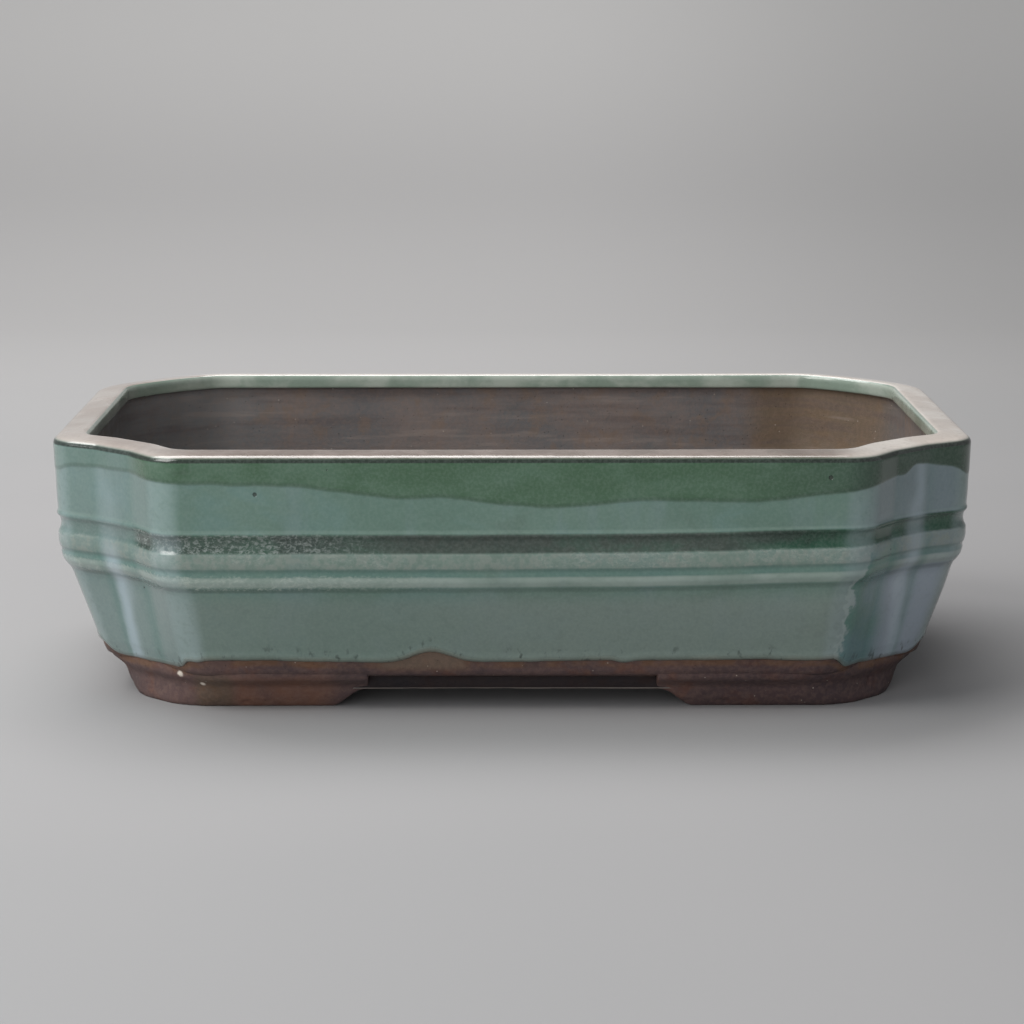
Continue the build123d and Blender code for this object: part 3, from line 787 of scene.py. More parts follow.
def net(name, node, x0):
    """Extruded net: one layer of strands fused onto another, in a border."""
    half = 50.4 / 2
    parts = []
    lines = [(-7.5 + k) * 3.2 for k in range(16)]
    lines = [c for c in lines if abs(c) < half - 0.9]
    s = np.linspace(-half + 0.5, half - 0.5, 52)
    for k, c in enumerate(lines):
        wob = 0.07 * noise(np.stack([s, np.full(52, c), np.full(52, x0)], 1),
                           9.0, 101)
        swell = 0.45 + 0.05 * np.cos(2 * np.pi * (s + 24) / 3.2)
        parts.append(tube(np.stack([x0 + s, c + wob, np.full(52, 12.76)], 1),
                          swell, 8, 0.93))
        parts.append(tube(np.stack([x0 + c + wob, s, np.full(52, 12.44)], 1),
                          swell, 8, 0.93))
    r = half - 0.55
    e = 1.2
    border = []
    for cx, cy, a0 in ((r - e, -r + e, -90), (r - e, r - e, 0),
                       (-r + e, r - e, 90), (-r + e, -r + e, 180)):
        for a in np.radians(np.linspace(a0, a0 + 90, 6)):
            border.append((x0 + cx + e * math.cos(a), cy + e * math.sin(a),
                           12.6))
    border = np.array(border + border[:1])
    ds = np.concatenate([[0], np.cumsum(np.linalg.norm(np.diff(
        border, axis=0), axis=1))])
    q = np.linspace(0, ds[-1], 200)
    border = np.stack([np.interp(q, ds, border[:, k]) for k in range(3)], 1)
    parts.append(tube(border, 0.55, 10, 1.0))
    V, F = join(parts)
    V[:, 2] = np.clip(V[:, 2], 12.02, 13.2)
    ob = make_mesh(name, V, F, True)
    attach(ob, "root")
    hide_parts(node)
    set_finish(ob, "mesh")
    return ob


def arc3(p0, pm, p1, n=12):
    """Points of the circular arc through three points, all in one plane."""
    p0, pm, p1 = map(np.asarray, (p0, pm, p1))
    a, b = p0 - p1, pm - p1
    axb = np.cross(a, b)
    c = p1 + np.cross((a @ a) * b - (b @ b) * a, axb) / (2 * (axb @ axb))
    r = np.linalg.norm(p0 - c)
    u = (p0 - c) / r
    w = -axb / np.linalg.norm(axb)
    v = np.cross(w, u)

    def ang(p):
        d = p - c
        return math.atan2(d @ v, d @ u) % (2 * math.pi)
    am, a1 = ang(pm), ang(p1)
    if am > a1:
        v = -v
        a1 = ang(p1)
    th = np.linspace(0, a1, n)
    return c + r * (np.cos(th)[:, None] * u + np.sin(th)[:, None] * v)


def clip(name, node, x0):
    wire_r, leg, hook = 0.8, 9.6, 24.0
    zu = Z_SLAB - wire_r - 0.05
    zo = 12.0 + 1.2 + wire_r + 0.05
    lx, lr, br = 16.5, 4.5, 1.6
    zt = zo + br
    s = math.sqrt(0.5)
    swing = 2 * math.atan(lr / lx)
    mid = math.radians(-90) - (math.pi + swing) / 2
    e = (lx - lr * math.sin(swing), lr + lr * math.cos(swing))
    m = (lx - lr * math.cos(mid), lr + lr * math.sin(mid))

    def line(p, q):
        p, q = np.array(p), np.array(q)
        k = max(2, int(np.linalg.norm(q - p) / 0.8))
        return p + (q - p) * np.linspace(0, 1, k)[:, None]
    segs = [line((x0 - hook, 0, zu), (x0 - leg - 2, 0, zu)),
            arc3((x0 - leg - 2, 0, zu), (x0 - leg - 2 + 2 * s, 0, zu + 2 - 2 * s),
                 (x0 - leg, 0, zu + 2), 8),
            line((x0 - leg, 0, zu + 2), (x0 - leg, 0, zo)),
            arc3((x0 - leg, 0, zo), (x0 - leg - br + br * s, 0, zo + br * s),
                 (x0 - leg - br, 0, zt), 8),
            line((x0 - leg - br, 0, zt), (x0 - lx, 0, zt)),
            arc3((x0 - lx, 0, zt), (x0 - m[0], m[1], zt),
                 (x0 - e[0], e[1], zt), 30),
            line((x0 - e[0], e[1], zt), (x0 + e[0], -e[1], zt)),
            arc3((x0 + e[0], -e[1], zt), (x0 + m[0], -m[1], zt),
                 (x0 + lx, 0, zt), 30),
            line((x0 + lx, 0, zt), (x0 + leg + br, 0, zt)),
            arc3((x0 + leg + br, 0, zt), (x0 + leg + br - br * s, 0, zo + br * s),
                 (x0 + leg, 0, zo), 8),
            line((x0 + leg, 0, zo), (x0 + leg, 0, zu + 2)),
            arc3((x0 + leg, 0, zu + 2), (x0 + leg + 2 - 2 * s, 0, zu + 2 - 2 * s),
                 (x0 + leg + 2, 0, zu), 8),
            line((x0 + leg + 2, 0, zu), (x0 + hook, 0, zu))]
    path = [segs[0]]
    for q in segs[1:]:
        path.append(q[1:])
    path = np.concatenate(path)
    rad = np.full(len(path), wire_r)
    rad[0] = rad[-1] = wire_r * 0.72
    V, F = tube(path, rad, 16)
    ob = make_mesh(name, V, F, True)
    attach(ob, "root")
    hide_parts(node)
    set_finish(ob, "wire")
    return ob


for side, x0 in (("left", -DRAIN_X), ("right", DRAIN_X)):
    net(f"drain_net_{side}", f"drain_screen_{side}", x0)
    clip(f"screen_wire_{side}", f"screen_clip_{side}", x0)

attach(glaze, "root")
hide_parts("glaze_coat")
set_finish(glaze, "glaze")


# ---------------------------------------------------------------- materials
def lin(r, g, b):
    def f(c):
        c /= 255.0
        return c / 12.92 if c <= 0.04045 else ((c + 0.055) / 1.055) ** 2.4
    return (f(r), f(g), f(b), 1.0)


class Nodes:
    """Short names for the node calls the materials use."""

    def __init__(self, name):
        self.mat = bpy.data.materials.new(name)
        self.mat.use_nodes = True
        self.t = self.mat.node_tree
        self.bsdf = [n for n in self.t.nodes if n.type == "BSDF_PRINCIPLED"][0]
        co = self.t.nodes.new("ShaderNodeTexCoord")
        mm = self.t.nodes.new("ShaderNodeVectorMath")
        mm.operation = "SCALE"
        mm.inputs["Scale"].default_value = 1000.0
        self.t.links.new(co.outputs["Object"], mm.inputs[0])
        self.pos = mm.outputs[0]
        sep = self.t.nodes.new("ShaderNodeSeparateXYZ")
        self.t.links.new(self.pos, sep.inputs[0])
        self.x, self.y, self.z = sep.outputs

    def put(self, sock, v):
        if hasattr(v, "is_output"):
            self.t.links.new(v, sock)
        else:
            sock.default_value = v

    def attr(self, name):
        n = self.t.nodes.new("ShaderNodeAttribute")
        n.attribute_name = name
        return n.outputs["Fac"]

    def math(self, op, a, b=0.0, c=0.0, clamp=False):
        n = self.t.nodes.new("ShaderNodeMath")
        n.operation = op
        n.use_clamp = clamp
        self.put(n.inputs[0], a)
        self.put(n.inputs[1], b)
        self.put(n.inputs[2], c)
        return n.outputs[0]

    def mul(self, a, b):
        return self.math("MULTIPLY", a, b)

    def add(self, a, b):
        return self.math("ADD", a, b)

    def ramp(self, v, a, b, lo=0.0, hi=1.0):
        """Smooth step of v from lo at a to hi at b."""
        n = self.t.nodes.new("ShaderNodeMapRange")
        n.interpolation_type = "SMOOTHSTEP"
        n.clamp = True
        self.put(n.inputs["Value"], v)
        if a > b:
            a, b, lo, hi = b, a, hi, lo
        n.inputs["From Min"].default_value = a
        n.inputs["From Max"].default_value = b
        n.inputs["To Min"].default_value = lo
        n.inputs["To Max"].default_value = hi
        return n.outputs["Result"]

    def band(self, v, a, b, soft):
        """1 between a and b, falling to 0 over soft on both sides."""
        return self.mul(self.ramp(v, a - soft, a), self.ramp(v, b + soft, b))

    def noise(self, size, detail=3.0, rough=0.5, seed=0.0, stretch=(1, 1, 1),
              distort=0.0):
        m = self.t.nodes.new("ShaderNodeMapping")
        self.t.links.new(self.pos, m.inputs["Vector"])
        m.inputs["Location"].default_value = (seed * 13.7, seed * 7.3,
                                              seed * 3.1)
        m.inputs["Scale"].default_value = [1.0 / s for s in stretch]
        n = self.t.nodes.new("ShaderNodeTexNoise")
        self.t.links.new(m.outputs[0], n.inputs["Vector"])
        n.inputs["Scale"].default_value = 1.0 / size
        n.inputs["Detail"].default_value = detail
        n.inputs["Roughness"].default_value = rough
        n.inputs["Distortion"].default_value = distort
        return n.outputs["Fac"]

    def cells(self, size, seed=0.0):
        m = self.t.nodes.new("ShaderNodeMapping")
        self.t.links.new(self.pos, m.inputs["Vector"])
        m.inputs["Location"].default_value = (seed * 5.1, seed * 9.7, seed)
        n = self.t.nodes.new("ShaderNodeTexVoronoi")
        self.t.links.new(m.outputs[0], n.inputs["Vector"])
        n.inputs["Scale"].default_value = 1.0 / size
        return n.outputs["Distance"]

    def mix(self, fac, a, b, mode="MIX"):
        n = self.t.nodes.new("ShaderNodeMix")
        n.data_type = "RGBA"
        n.blend_type = mode
        self.put(n.inputs[0], fac)
        self.put(n.inputs[6], a)
        self.put(n.inputs[7], b)
        return n.outputs[2]

    def near(self, point, radius, soft):
        """1 within radius of a point (mm)."""
        n = self.t.nodes.new("ShaderNodeVectorMath")
        n.operation = "DISTANCE"
        self.t.links.new(self.pos, n.inputs[0])
        n.inputs[1].default_value = point
        return self.ramp(n.outputs["Value"], radius + soft, radius)

    def bump(self, height, distance_mm, strength=1.0, normal=None):
        n = self.t.nodes.new("ShaderNodeBump")
        n.inputs["Strength"].default_value = strength
        n.inputs["Distance"].default_value = distance_mm / 1000.0
        self.put(n.inputs["Height"], height)
        if normal is not None:
            self.t.links.new(normal, n.inputs["Normal"])
        return n.outputs["Normal"]

    def set(self, **kw):
        for k, v in kw.items():
            self.put(self.bsdf.inputs[k.replace("_", " ")], v)


def glaze_material():
    m = Nodes("glaze")
    drip, edge, belt = m.attr("drip"), m.attr("edge"), m.attr("belt")
    curv, top, inner = m.attr("curv"), m.attr("top"), m.attr("inner")
    corner, across = m.attr("corner"), m.attr("across")
    side = m.math("SUBTRACT", 1.0, m.math("MAXIMUM", top, inner), clamp=True)
    big = m.noise(58.0, 2.0, 0.5, 1, (1.6, 1.6, 1.0))
    mid = m.noise(15.0, 4.0, 0.55, 2, (1.5, 1.5, 1.0), 0.4)
    runs = m.noise(11.0, 3.0, 0.5, 12, (1.0, 1.0, 4.5), 0.2)
    fine = m.noise(2.6, 3.0, 0.6, 3)
    grit = m.noise(1.0, 2.0, 0.6, 4)
    col = m.mix(m.ramp(big, 0.38, 0.62), lin(82, 108, 97),
                lin(91, 115, 105))
    col = m.mix(m.mul(m.ramp(mid, 0.5, 0.68), 0.5), col, lin(88, 116, 112))
    col = m.mix(m.mul(m.ramp(mid, 0.48, 0.3), 0.45), col, lin(76, 97, 86))
    col = m.mix(m.mul(m.ramp(runs, 0.52, 0.68), 0.4), col, lin(98, 118, 117))
    col = m.mix(m.ramp(belt, 44.0, 36.0, 0.0, 0.7), col,
                m.mix(m.ramp(m.x, -60.0, 20.0), lin(102, 116, 110),
                      lin(107, 117, 112)))
    # corners are a little bluer, more so at the right
    col = m.mix(m.mul(m.mul(corner, side),
                      m.ramp(m.x, 60.0, 135.0, 0.42, 0.7)), col,
                m.mix(m.ramp(m.x, 60.0, 135.0), lin(108, 124, 127),
                      lin(112, 124, 134)))
    col = m.mix(m.mul(m.mul(m.mul(corner, side), m.ramp(belt, 52.0, 40.0)),
                      m.ramp(m.x, 70.0, 130.0, 0.0, 0.7)), col,
                lin(138, 148, 160))
    # speckled grey band, teal strip, lit ridge and thin line along the belt
    speck = m.add(m.mul(m.ramp(fine, 0.42, 0.6), 0.45), 0.35)
    col = m.mix(m.mul(m.band(belt, 50.3, 54.8, 1.2), speck), col,
                lin(113, 122, 115))
    col = m.mix(m.mul(m.band(belt, 47.8, 49.8, 0.8),
                      m.ramp(mid, 0.3, 0.55, 0.25, 0.7)), col,
                lin(70, 101, 94))
    col = m.mix(m.mul(m.band(belt, 44.6, 46.8, 1.1),
                      m.ramp(mid, 0.35, 0.6, 0.45, 0.8)), col,
                lin(140, 153, 146))
    col = m.mix(m.mul(m.band(belt, 42.4, 43.1, 0.8),
                      m.ramp(m.x, -90.0, 0.0, 0.45, 0.2)), col,
                lin(52, 68, 62))
    # the coat is darker in the drawn line between belt and bead, darkest at the
    # right end
    line_noise = m.noise(20.0, 3.0, 0.55, 5, (2.4, 2.4, 1.0))
    left = m.ramp(m.x, -119.0, -123.0)
    groove = m.mul(m.band(belt, 55.7, 61.0, 0.9),
                   m.ramp(line_noise, 0.25, 0.45, 0.6, 1.0))
    groove = m.mul(groove, m.math("SUBTRACT", 1.0, m.mul(left, 0.75)))
    right = m.ramp(m.x, 70.0, 92.0)
    dark = m.mix(m.ramp(mid, 0.45, 0.65), lin(40, 53, 47), lin(46, 70, 58))
    dark = m.mix(m.mul(m.band(m.x, -30.0, 60.0, 30.0),
                       m.ramp(fine, 0.35, 0.65, 0.2, 0.7)), dark,
                 lin(54, 60, 54))
    dark = m.mix(m.mul(right, 0.85), dark,
                 m.mix(m.ramp(mid, 0.4, 0.6), lin(8, 40, 26),
                       lin(10, 62, 42)))
    col = m.mix(m.mul(groove, m.ramp(m.x, 60.0, 90.0, 0.95, 1.0)), col, dark)
    salt = m.ramp(m.noise(1.1, 4.0, 0.75, 14, (1.4, 1.4, 1.0), 0.6), 0.46, 0.64)
    col = m.mix(m.mul(m.mul(m.mul(groove, m.ramp(m.x, -30.0, -75.0)), salt),
                      0.7), col, lin(126, 134, 130))
    col = m.mix(m.mul(m.mul(m.band(belt, 51.0, 55.0, 1.0), m.mul(
        salt, m.ramp(mid, 0.42, 0.6))), 0.32), col, lin(146, 154, 148))
    col = m.mix(m.mul(m.mul(m.mul(m.band(belt, 43.5, 47.5, 1.0), m.mul(
        salt, m.ramp(mid, 0.36, 0.55))), m.ramp(m.x, 0.0, -70.0)), 0.55), col,
        lin(158, 168, 158))
    col = m.mix(m.mul(m.band(belt, 62.0, 62.6, 0.4), 0.18), col,
                lin(122, 138, 128))
    # shoulders break pale, creases pool teal
    ridge = m.mul(m.ramp(curv, 0.75, 1.5), m.ramp(fine, 0.3, 0.6, 0.8, 1.0))
    col = m.mix(m.mul(m.mul(ridge, side), 0.34), col, lin(146, 162, 166))
    pool = m.mul(m.mul(m.ramp(curv, 0.1, -0.9), side),
                 m.ramp(belt, 58.0, 50.0, 0.15, 0.45))
    col = m.mix(pool, col, lin(66, 102, 95))
    ragged = m.add(across, m.ramp(m.noise(6.0, 3.0, 0.6, 15), 0.3, 0.7,
                                  -1.6, 1.6))
    wavy = m.add(across, m.ramp(m.noise(18.0, 1.0, 0.4, 16), 0.3, 0.7,
                                -1.4, 1.4))
    teal = m.mul(m.mul(m.mul(m.ramp(ragged, 38.1, 36.5),
                             m.ramp(wavy, 21.0, 31.0)),
                       m.ramp(belt, 57.0, 50.0)), m.ramp(m.x, 90.0, 100.0))
    col = m.mix(m.mul(teal, 0.75), col, m.mix(m.ramp(mid, 0.4, 0.6),
                                              lin(54, 104, 88),
                                              lin(68, 108, 108)))
    pale = m.mul(m.mul(m.band(ragged, 38.0, 38.8, 0.8),
                       m.ramp(belt, 50.0, 44.0)), m.ramp(m.x, 90.0, 100.0))
    col = m.mix(m.mul(pale, 0.5), col, lin(140, 154, 150))
    # painted highlight: a pale bluish vertical streak down the middle of each front
    # corner, stronger low down and at the right
    painted_corner_highlight = m.mul(m.mul(m.band(wavy, 18.1, 18.9, 4.4), side),
                   m.ramp(drip, 0.5, -0.5))
    low_down = m.ramp(belt, 58.0, 46.0, 0.16, 0.5)
    painted_corner_highlight = m.mul(painted_corner_highlight, m.math("MAXIMUM", low_down,
                                  m.ramp(m.x, 90.0, 120.0, 0.0, 0.36)))
    painted_corner_highlight = m.mul(painted_corner_highlight, m.ramp(runs, 0.3, 0.6, 0.7, 1.0))
    col = m.mix(painted_corner_highlight, col, lin(164, 178, 188))
    # thick band under the rim
    begins = m.math("MAXIMUM", m.ramp(m.x, -125.0, -117.0, 0.25, 1.0),
                    m.ramp(m.y, -40.0, 0.0))
    col = m.mix(m.mul(m.mul(m.mul(m.ramp(drip, -0.7, 0.4), side), begins),
                      0.85), col,
                m.mix(m.ramp(mid, 0.4, 0.62), lin(46, 78, 50),
                      lin(62, 90, 68)))
    col = m.mix(m.mul(m.mul(m.band(drip, -0.1, 0.6, 0.7), side), 0.3), col,
                lin(40, 62, 50))
    col = m.mix(m.mul(m.mul(m.mul(m.ramp(drip, -0.5, 0.3), side),
                            m.ramp(m.x, 60.0, 128.0)), 0.7), col,
                lin(28, 50, 38))
    # thin glaze at its lower edge lets the clay show
    near_edge = m.ramp(edge, 3.0, 0.2)
    col = m.mix(m.mul(near_edge, 0.6), col,
                m.mix(m.ramp(mid, 0.4, 0.6), lin(72, 74, 64),
                      lin(92, 80, 64)))
    col = m.mix(m.mul(m.mul(m.ramp(edge, 7.0, 1.5), m.ramp(
        m.noise(3.0, 3.0, 0.6, 8, (1, 1, 2.2)), 0.58, 0.68)), 0.75), col,
        lin(36, 44, 40))
    # rim: thin and pinkish on top, green again inside
    browner = m.mul(m.ramp(m.y, -84.0, -92.0),
                    m.ramp(m.math("ABSOLUTE", m.x), 118.0, 96.0))
    rim = m.mix(m.ramp(m.noise(26.0, 4.0, 0.55, 6), 0.4, 0.62),
                m.mix(m.ramp(m.x, -90.0, 110.0), lin(166, 158, 152),
                      lin(206, 199, 192)),
                m.mix(m.ramp(m.x, -90.0, 110.0), lin(150, 139, 132),
                      lin(190, 180, 172)))
    # painted light: the back of the lip is painted paler
    rim = m.mix(m.mul(m.ramp(m.y, 84.0, 92.0), 0.7), rim, lin(226, 221, 214))
    rim = m.mix(m.mul(browner, 0.85), rim,
                m.mix(m.ramp(m.noise(13.0, 4.0, 0.6, 7), 0.4, 0.6),
                      lin(92, 76, 67), lin(116, 101, 94)))
    rim = m.mix(m.mul(m.ramp(fine, 0.55, 0.7), 0.3), rim, lin(132, 124, 112))
    col = m.mix(m.mul(top, m.math("SUBTRACT", 1.0, inner, clamp=True)), col,
                rim)
    col = m.mix(m.mul(m.mul(m.band(m.z, 84.6, 85.4, 0.5), side), 0.9), col,
                lin(24, 30, 26))
    inside = m.mix(m.ramp(mid, 0.4, 0.6), lin(116, 130, 118),
                   lin(144, 152, 142))
    col = m.mix(m.mul(inner, m.ramp(m.z, 87.2, 86.4)), col, inside)
    # fine mottling and pinholes
    col = m.mix(m.ramp(grit, 0.35, 0.7, 0.0, 0.07), col, lin(150, 162, 155))
    col = m.mix(m.ramp(fine, 0.5, 0.3, 0.0, 0.08), col, lin(50, 68, 62))
    tiny = m.ramp(m.cells(19.0, 3), 0.022, 0.012)
    hole = tiny
    for p in ((-81.2, -100.0, 74.3), (86.0, -91.0, 25.7), (99.8, -100.0, 79.6)):
        hole = m.math("MAXIMUM", hole, m.near(
            (p[0], p[1], p[2]), 0.5, 0.35))
    col = m.mix(m.mul(hole, 0.8), col, lin(34, 38, 34))
    swell = m.noise(9.0, 2.0, 0.5, 9)
    nrm = m.bump(swell, 0.45, 0.35)
    nrm = m.bump(m.noise(1.5, 2.0, 0.55, 10), 0.05, 0.4, nrm)
    nrm = m.bump(m.math("SUBTRACT", 1.0, hole), 0.35, 1.0, nrm)
    rough = m.add(m.ramp(mid, 0.3, 0.7, 0.16, 0.26),
                  m.mul(near_edge, 0.18))
    m.set(Base_Color=col, Roughness=rough, IOR=1.52, Normal=nrm,
          Coat_Weight=0.4, Coat_Roughness=0.1, Coat_IOR=1.5)
    return m.mat


def clay_material(name="clay", dark=False):
    m = Nodes(name)
    edge, inner = m.attr("edge"), m.attr("inner")
    big = m.noise(34.0, 3.0, 0.55, 21)
    mid = m.noise(9.0, 4.0, 0.6, 22)
    fine = m.noise(1.6, 3.0, 0.65, 23)
    col = m.mix(m.ramp(big, 0.36, 0.64), lin(70, 57, 58), lin(82, 65, 63))
    col = m.mix(m.mul(m.ramp(mid, 0.52, 0.7), 0.5), col, lin(96, 62, 48))
    col = m.mix(m.mul(m.ramp(mid, 0.44, 0.28), 0.5), col, lin(54, 46, 48))
    # firing colours of the front left foot, and painted shade on the outside clay
    # toward the right
    low = m.mul(m.ramp(m.z, 14.0, 10.0), m.ramp(m.y, -50.0, -60.0))
    warm = m.mul(m.band(m.x, -88.0, -62.0, 8.0), low)
    col = m.mix(m.mul(warm, m.ramp(mid, 0.3, 0.6, 0.35, 0.65)), col,
                lin(104, 74, 60))
    # painted shade: the outside clay, feet included, darkens toward the right, away
    # from the key light
    painted_shade_right = m.mul(m.ramp(m.x, 45.0, 75.0),
                  m.math("SUBTRACT", 1.0, inner, clamp=True))
    col = m.mix(m.mul(painted_shade_right, 0.42), col, lin(46, 38, 44))
    olive = m.mul(m.band(m.x, -101.0, -93.0, 4.0), low)
    col = m.mix(m.mul(olive, 0.4), col, lin(84, 76, 56))
    # inside: greyer, with drawn marks, browner at the right
    up = m.ramp(m.z, 16.0, 42.0, 0.45, 1.0)
    ins = m.mul(inner, up)
    grey = m.mix(m.ramp(big, 0.36, 0.64), lin(92, 91, 92), lin(106, 98, 95))
    grey = m.mix(m.mul(m.ramp(mid, 0.5, 0.66), 0.55), grey, lin(110, 93, 80))
    grey = m.mix(m.mul(m.ramp(mid, 0.46, 0.3), 0.5), grey, lin(92, 94, 94))
    col = m.mix(ins, col, grey)
    col = m.mix(m.mul(m.mul(ins, m.band(m.x, 98.0, 132.0, 14.0)), 0.7), col,
                lin(98, 80, 58))
    col = m.mix(m.mul(m.mul(ins, m.ramp(m.x, -80.0, -118.0)), 0.6), col,
                lin(112, 115, 116))
    scrape = m.noise(5.0, 3.0, 0.6, 27, (9.0, 9.0, 0.8))
    col = m.mix(m.mul(ins, m.ramp(scrape, 0.45, 0.68, 0.0, 0.45)), col,
                lin(82, 72, 70))
    col = m.mix(m.mul(ins, m.ramp(scrape, 0.42, 0.28, 0.0, 0.3)), col,
                lin(142, 130, 122))
    # flashed brown next to the glaze
    halo = m.mul(m.band(edge, -0.8, 1.5, 1.6),
                 m.ramp(m.noise(11.0, 3.0, 0.6, 28), 0.4, 0.6, 0.15, 0.9))
    bare = m.mul(m.band(m.x, -40.0, -17.0, 6.0), m.ramp(m.z, 13.0, 16.0))
    halo = m.math("MAXIMUM", halo, bare)
    halo = m.mul(halo, m.math("SUBTRACT", 1.0, inner, clamp=True))
    col = m.mix(m.mul(halo, 0.75), col,
                m.mix(m.mul(bare, 0.85), lin(94, 68, 48), lin(96, 84, 72)))
    # white and dark grit, and two painted glints on the front left foot
    white = m.ramp(m.cells(3.1, 5), 0.085, 0.05)
    black = m.ramp(m.cells(2.2, 9), 0.11, 0.06)
    keep = m.ramp(m.noise(8.0, 1.0, 0.5, 29), 0.5, 0.58)
    col = m.mix(m.mul(m.mul(white, keep), 0.7), col, lin(176, 166, 154))
    # painted highlight: two pale glints on the curve of the front left foot
    painted_glints = m.math("MAXIMUM", m.near((-108.7, -79.0, 11.4), 1.2, 0.7),
                  m.near((-100.4, -78.5, 9.2), 1.0, 0.6))
    col = m.mix(m.mul(painted_glints, 0.85), col, lin(206, 198, 186))
    col = m.mix(m.mul(black, 0.5), col, lin(36, 30, 30))
    col = m.mix(m.ramp(fine, 0.4, 0.65, 0.0, 0.14), col, lin(136, 112, 98))
    if dark:
        # painted shade: the slab's upright outer faces, in the shadow between the
        # feet, are painted near-black
        geo = m.t.nodes.new("ShaderNodeNewGeometry")
        way = m.t.nodes.new("ShaderNodeSeparateXYZ")
        m.t.links.new(geo.outputs["Normal"], way.inputs[0])
        upright = m.ramp(m.math("ABSOLUTE", way.outputs[2]), 0.9, 0.6)
        free = m.mul(m.ramp(inner, 0.5, 0.0), upright)
        col = m.mix(m.mul(free, 0.85), col,
                    m.mix(m.ramp(mid, 0.4, 0.62), lin(8, 10, 14),
                          lin(15, 15, 18)))
        # painted highlight: a pale line along the slab's lower edge
        col = m.mix(m.mul(m.band(m.z, 6.2, 6.9, 0.3),
                          m.mul(free, 0.45)), col, lin(176, 168, 160))
    h = m.add(m.mul(fine, 0.6), m.mul(m.noise(0.7, 2.0, 0.6, 30), 0.4))
    nrm = m.bump(h, 0.28, 0.7)
    nrm = m.bump(m.math("SUBTRACT", 1.0, m.mul(black, 1.0)), 0.3, 0.6, nrm)
    m.set(Base_Color=col, Roughness=m.ramp(mid, 0.3, 0.7, 0.5, 0.72),
          Normal=nrm, IOR=1.45, Specular_IOR_Level=0.4)
    return m.mat


def net_material():
    m = Nodes("mesh_plastic")
    n = m.noise(6.0, 3.0, 0.6, 41)
    col = m.mix(m.ramp(n, 0.35, 0.65), lin(38, 46, 42), lin(54, 62, 56))
    dust = m.ramp(m.noise(1.4, 3.0, 0.65, 42), 0.58, 0.75)
    col = m.mix(m.mul(dust, 0.35), col, lin(112, 100, 88))
    nrm = m.bump(m.noise(0.5, 2.0, 0.5, 43), 0.04, 0.6)
    m.set(Base_Color=col, Roughness=m.ramp(n, 0.3, 0.7, 0.42, 0.6),
          Normal=nrm)
    return m.mat


def wire_material():
    m = Nodes("anodised_wire")
    n = m.noise(4.0, 3.0, 0.6, 51, (4.0, 4.0, 1.0))
    col = m.mix(m.ramp(n, 0.35, 0.65), lin(150, 98, 70), lin(122, 76, 54))
    scratch = m.ramp(m.noise(0.5, 3.0, 0.7, 52, (6.0, 1.0, 1.0)), 0.6, 0.75)
    col = m.mix(m.mul(scratch, 0.5), col, lin(206, 176, 150))
    nrm = m.bump(m.noise(0.4, 2.0, 0.6, 53, (5.0, 1.0, 1.0)), 0.03, 0.6)
    m.set(Base_Color=col, Metallic=0.92,
          Roughness=m.ramp(n, 0.3, 0.7, 0.3, 0.45), Normal=nrm)
    return m.mat


MATS = {"glaze": glaze_material(), "clay": clay_material(),
        "slab": clay_material("clay_floor", True),
        "mesh": net_material(), "wire": wire_material()}
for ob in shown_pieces():
    key = ob.get("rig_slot", "clay")
    if ob.name.startswith("floor_slab"):
        key = "slab"
    ob.data.materials.clear()
    ob.data.materials.append(MATS[key])

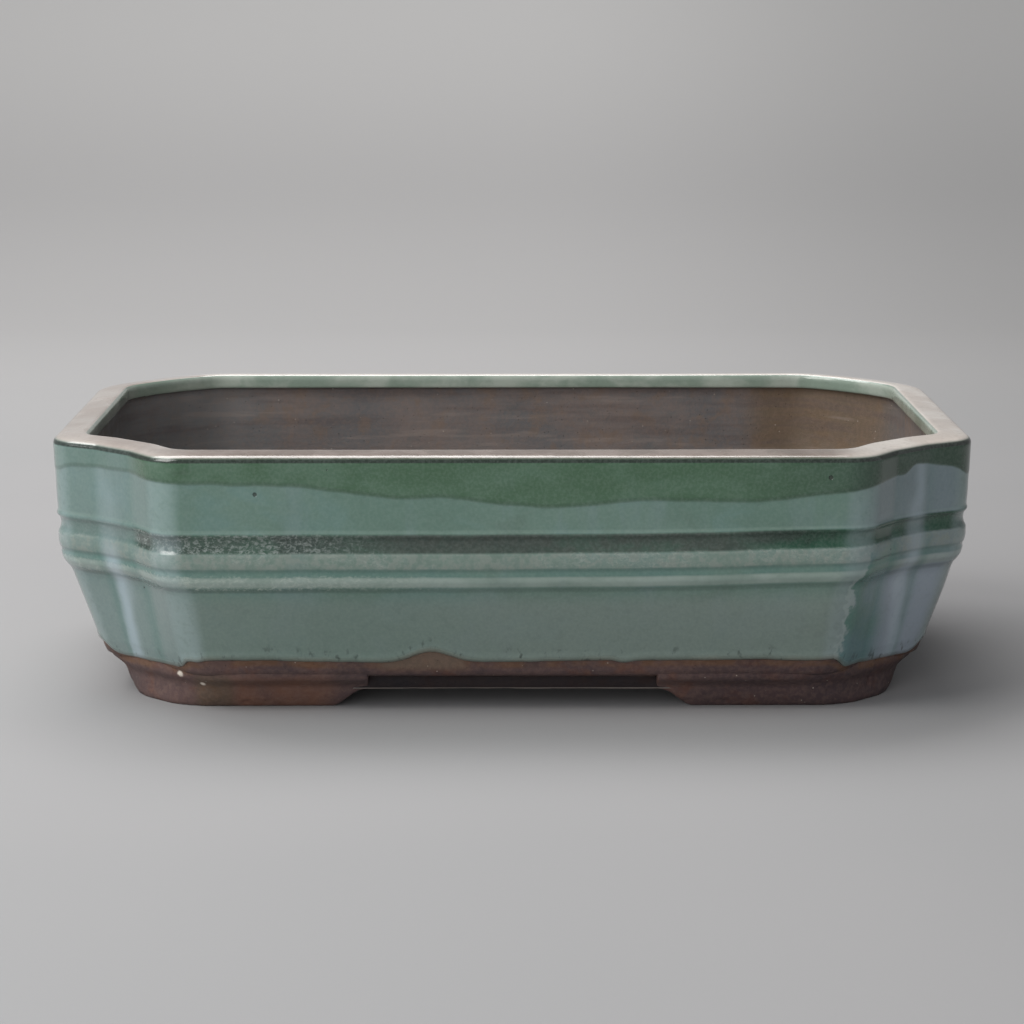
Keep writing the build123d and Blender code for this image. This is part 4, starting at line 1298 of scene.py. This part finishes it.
# ------------------------------------------------------------- the stage
def sweep_backdrop():
    pts = [(-4.0, 0.0), (1.0, 0.0)]
    for a in np.linspace(0, math.pi / 2, 24):
        pts.append((1.0 + 1.2 * math.sin(a), 1.2 - 1.2 * math.cos(a)))
    pts.append((2.2, 5.0))
    verts, faces = [], []
    for y, z in pts:
        verts += [(-5000.0, y * 1000, z * 1000), (5000.0, y * 1000, z * 1000)]
    for k in range(len(pts) - 1):
        faces.append((2 * k, 2 * k + 1, 2 * k + 3, 2 * k + 2))
    ob = make_mesh("floor_sheet", verts, faces, True)
    m = Nodes("floor_paper")
    n = m.noise(320.0, 2.0, 0.5, 61)
    col = m.mix(m.ramp(n, 0.3, 0.7), lin(150, 149, 150), lin(146, 146, 147))
    # painted light and shade: the paper is painted lighter toward the back and up
    # the sweep, and darker to the right
    col = m.mix(m.ramp(m.y, 150.0, 1300.0), col, lin(178, 177, 177))
    col = m.mix(m.ramp(m.y, 1350.0, 1750.0), col, lin(206, 205, 204))
    col = m.mix(m.ramp(m.x, 0.0, 420.0, 0.0, 0.3), col, lin(120, 120, 120))
    m.set(Base_Color=col, Roughness=0.9, Specular_IOR_Level=0.15)
    ob.data.materials.append(m.mat)
    return ob


sweep_backdrop()


def area(name, loc, target, size, power, color=(1, 1, 1)):
    d = bpy.data.lights.new(name, "AREA")
    d.shape = "RECTANGLE"
    d.size, d.size_y = size
    d.energy = power
    d.color = color
    ob = bpy.data.objects.new(name, d)
    ob.location = loc
    ob.rotation_euler = (Vector(target) - Vector(loc)).to_track_quat(
        "-Z", "Y").to_euler()
    bpy.context.scene.collection.objects.link(ob)
    return ob


area("key", (-0.85, -0.5, 1.0), (0, 0, 0.04), (0.8, 0.8), 12.0,
     (1.0, 0.985, 0.96))
area("overhead", (-0.35, 0.5, 1.25), (0, 0, 0.05), (1.3, 0.8), 19.0,
     (1.0, 0.99, 0.98))
for soft in (area("fill_front", (-0.45, -1.45, 0.5), (0, 0, 0.04), (1.2, 0.7),
                  6.3, (0.98, 0.99, 1.0)),
             area("fill_left", (-1.2, -0.5, 0.3), (0, 0, 0.04), (0.6, 0.5),
                  3.5, (0.95, 0.98, 1.0)),
             area("fill_low", (-0.1, -1.25, 0.2), (0, 0, 0.04), (1.3, 0.2),
                  2.4, (1.0, 0.99, 0.99))):
    soft.visible_glossy = False       # only the two main boxes are reflected

world = bpy.data.worlds.new("studio")
world.use_nodes = True
bg = world.node_tree.nodes["Background"]
bg.inputs[0].default_value = (0.93, 0.94, 0.96, 1.0)
bg.inputs[1].default_value = 0.36
bpy.context.scene.world = world
bpy.context.scene.view_settings.view_transform = "Standard"

cam_data = bpy.data.cameras.new("camera")
cam_data.sensor_width = 36.0
cam_data.lens = 105.47
cam_data.clip_start = 0.05
cam = bpy.data.objects.new("camera", cam_data)
cam.location = (-0.0061, -1.0287, 0.2353)
cam.rotation_euler = (math.radians(90 - 10.167), 0.0, math.radians(-0.35))
bpy.context.scene.collection.objects.link(cam)
bpy.context.scene.camera = cam

bpy.context.view_layer.update()
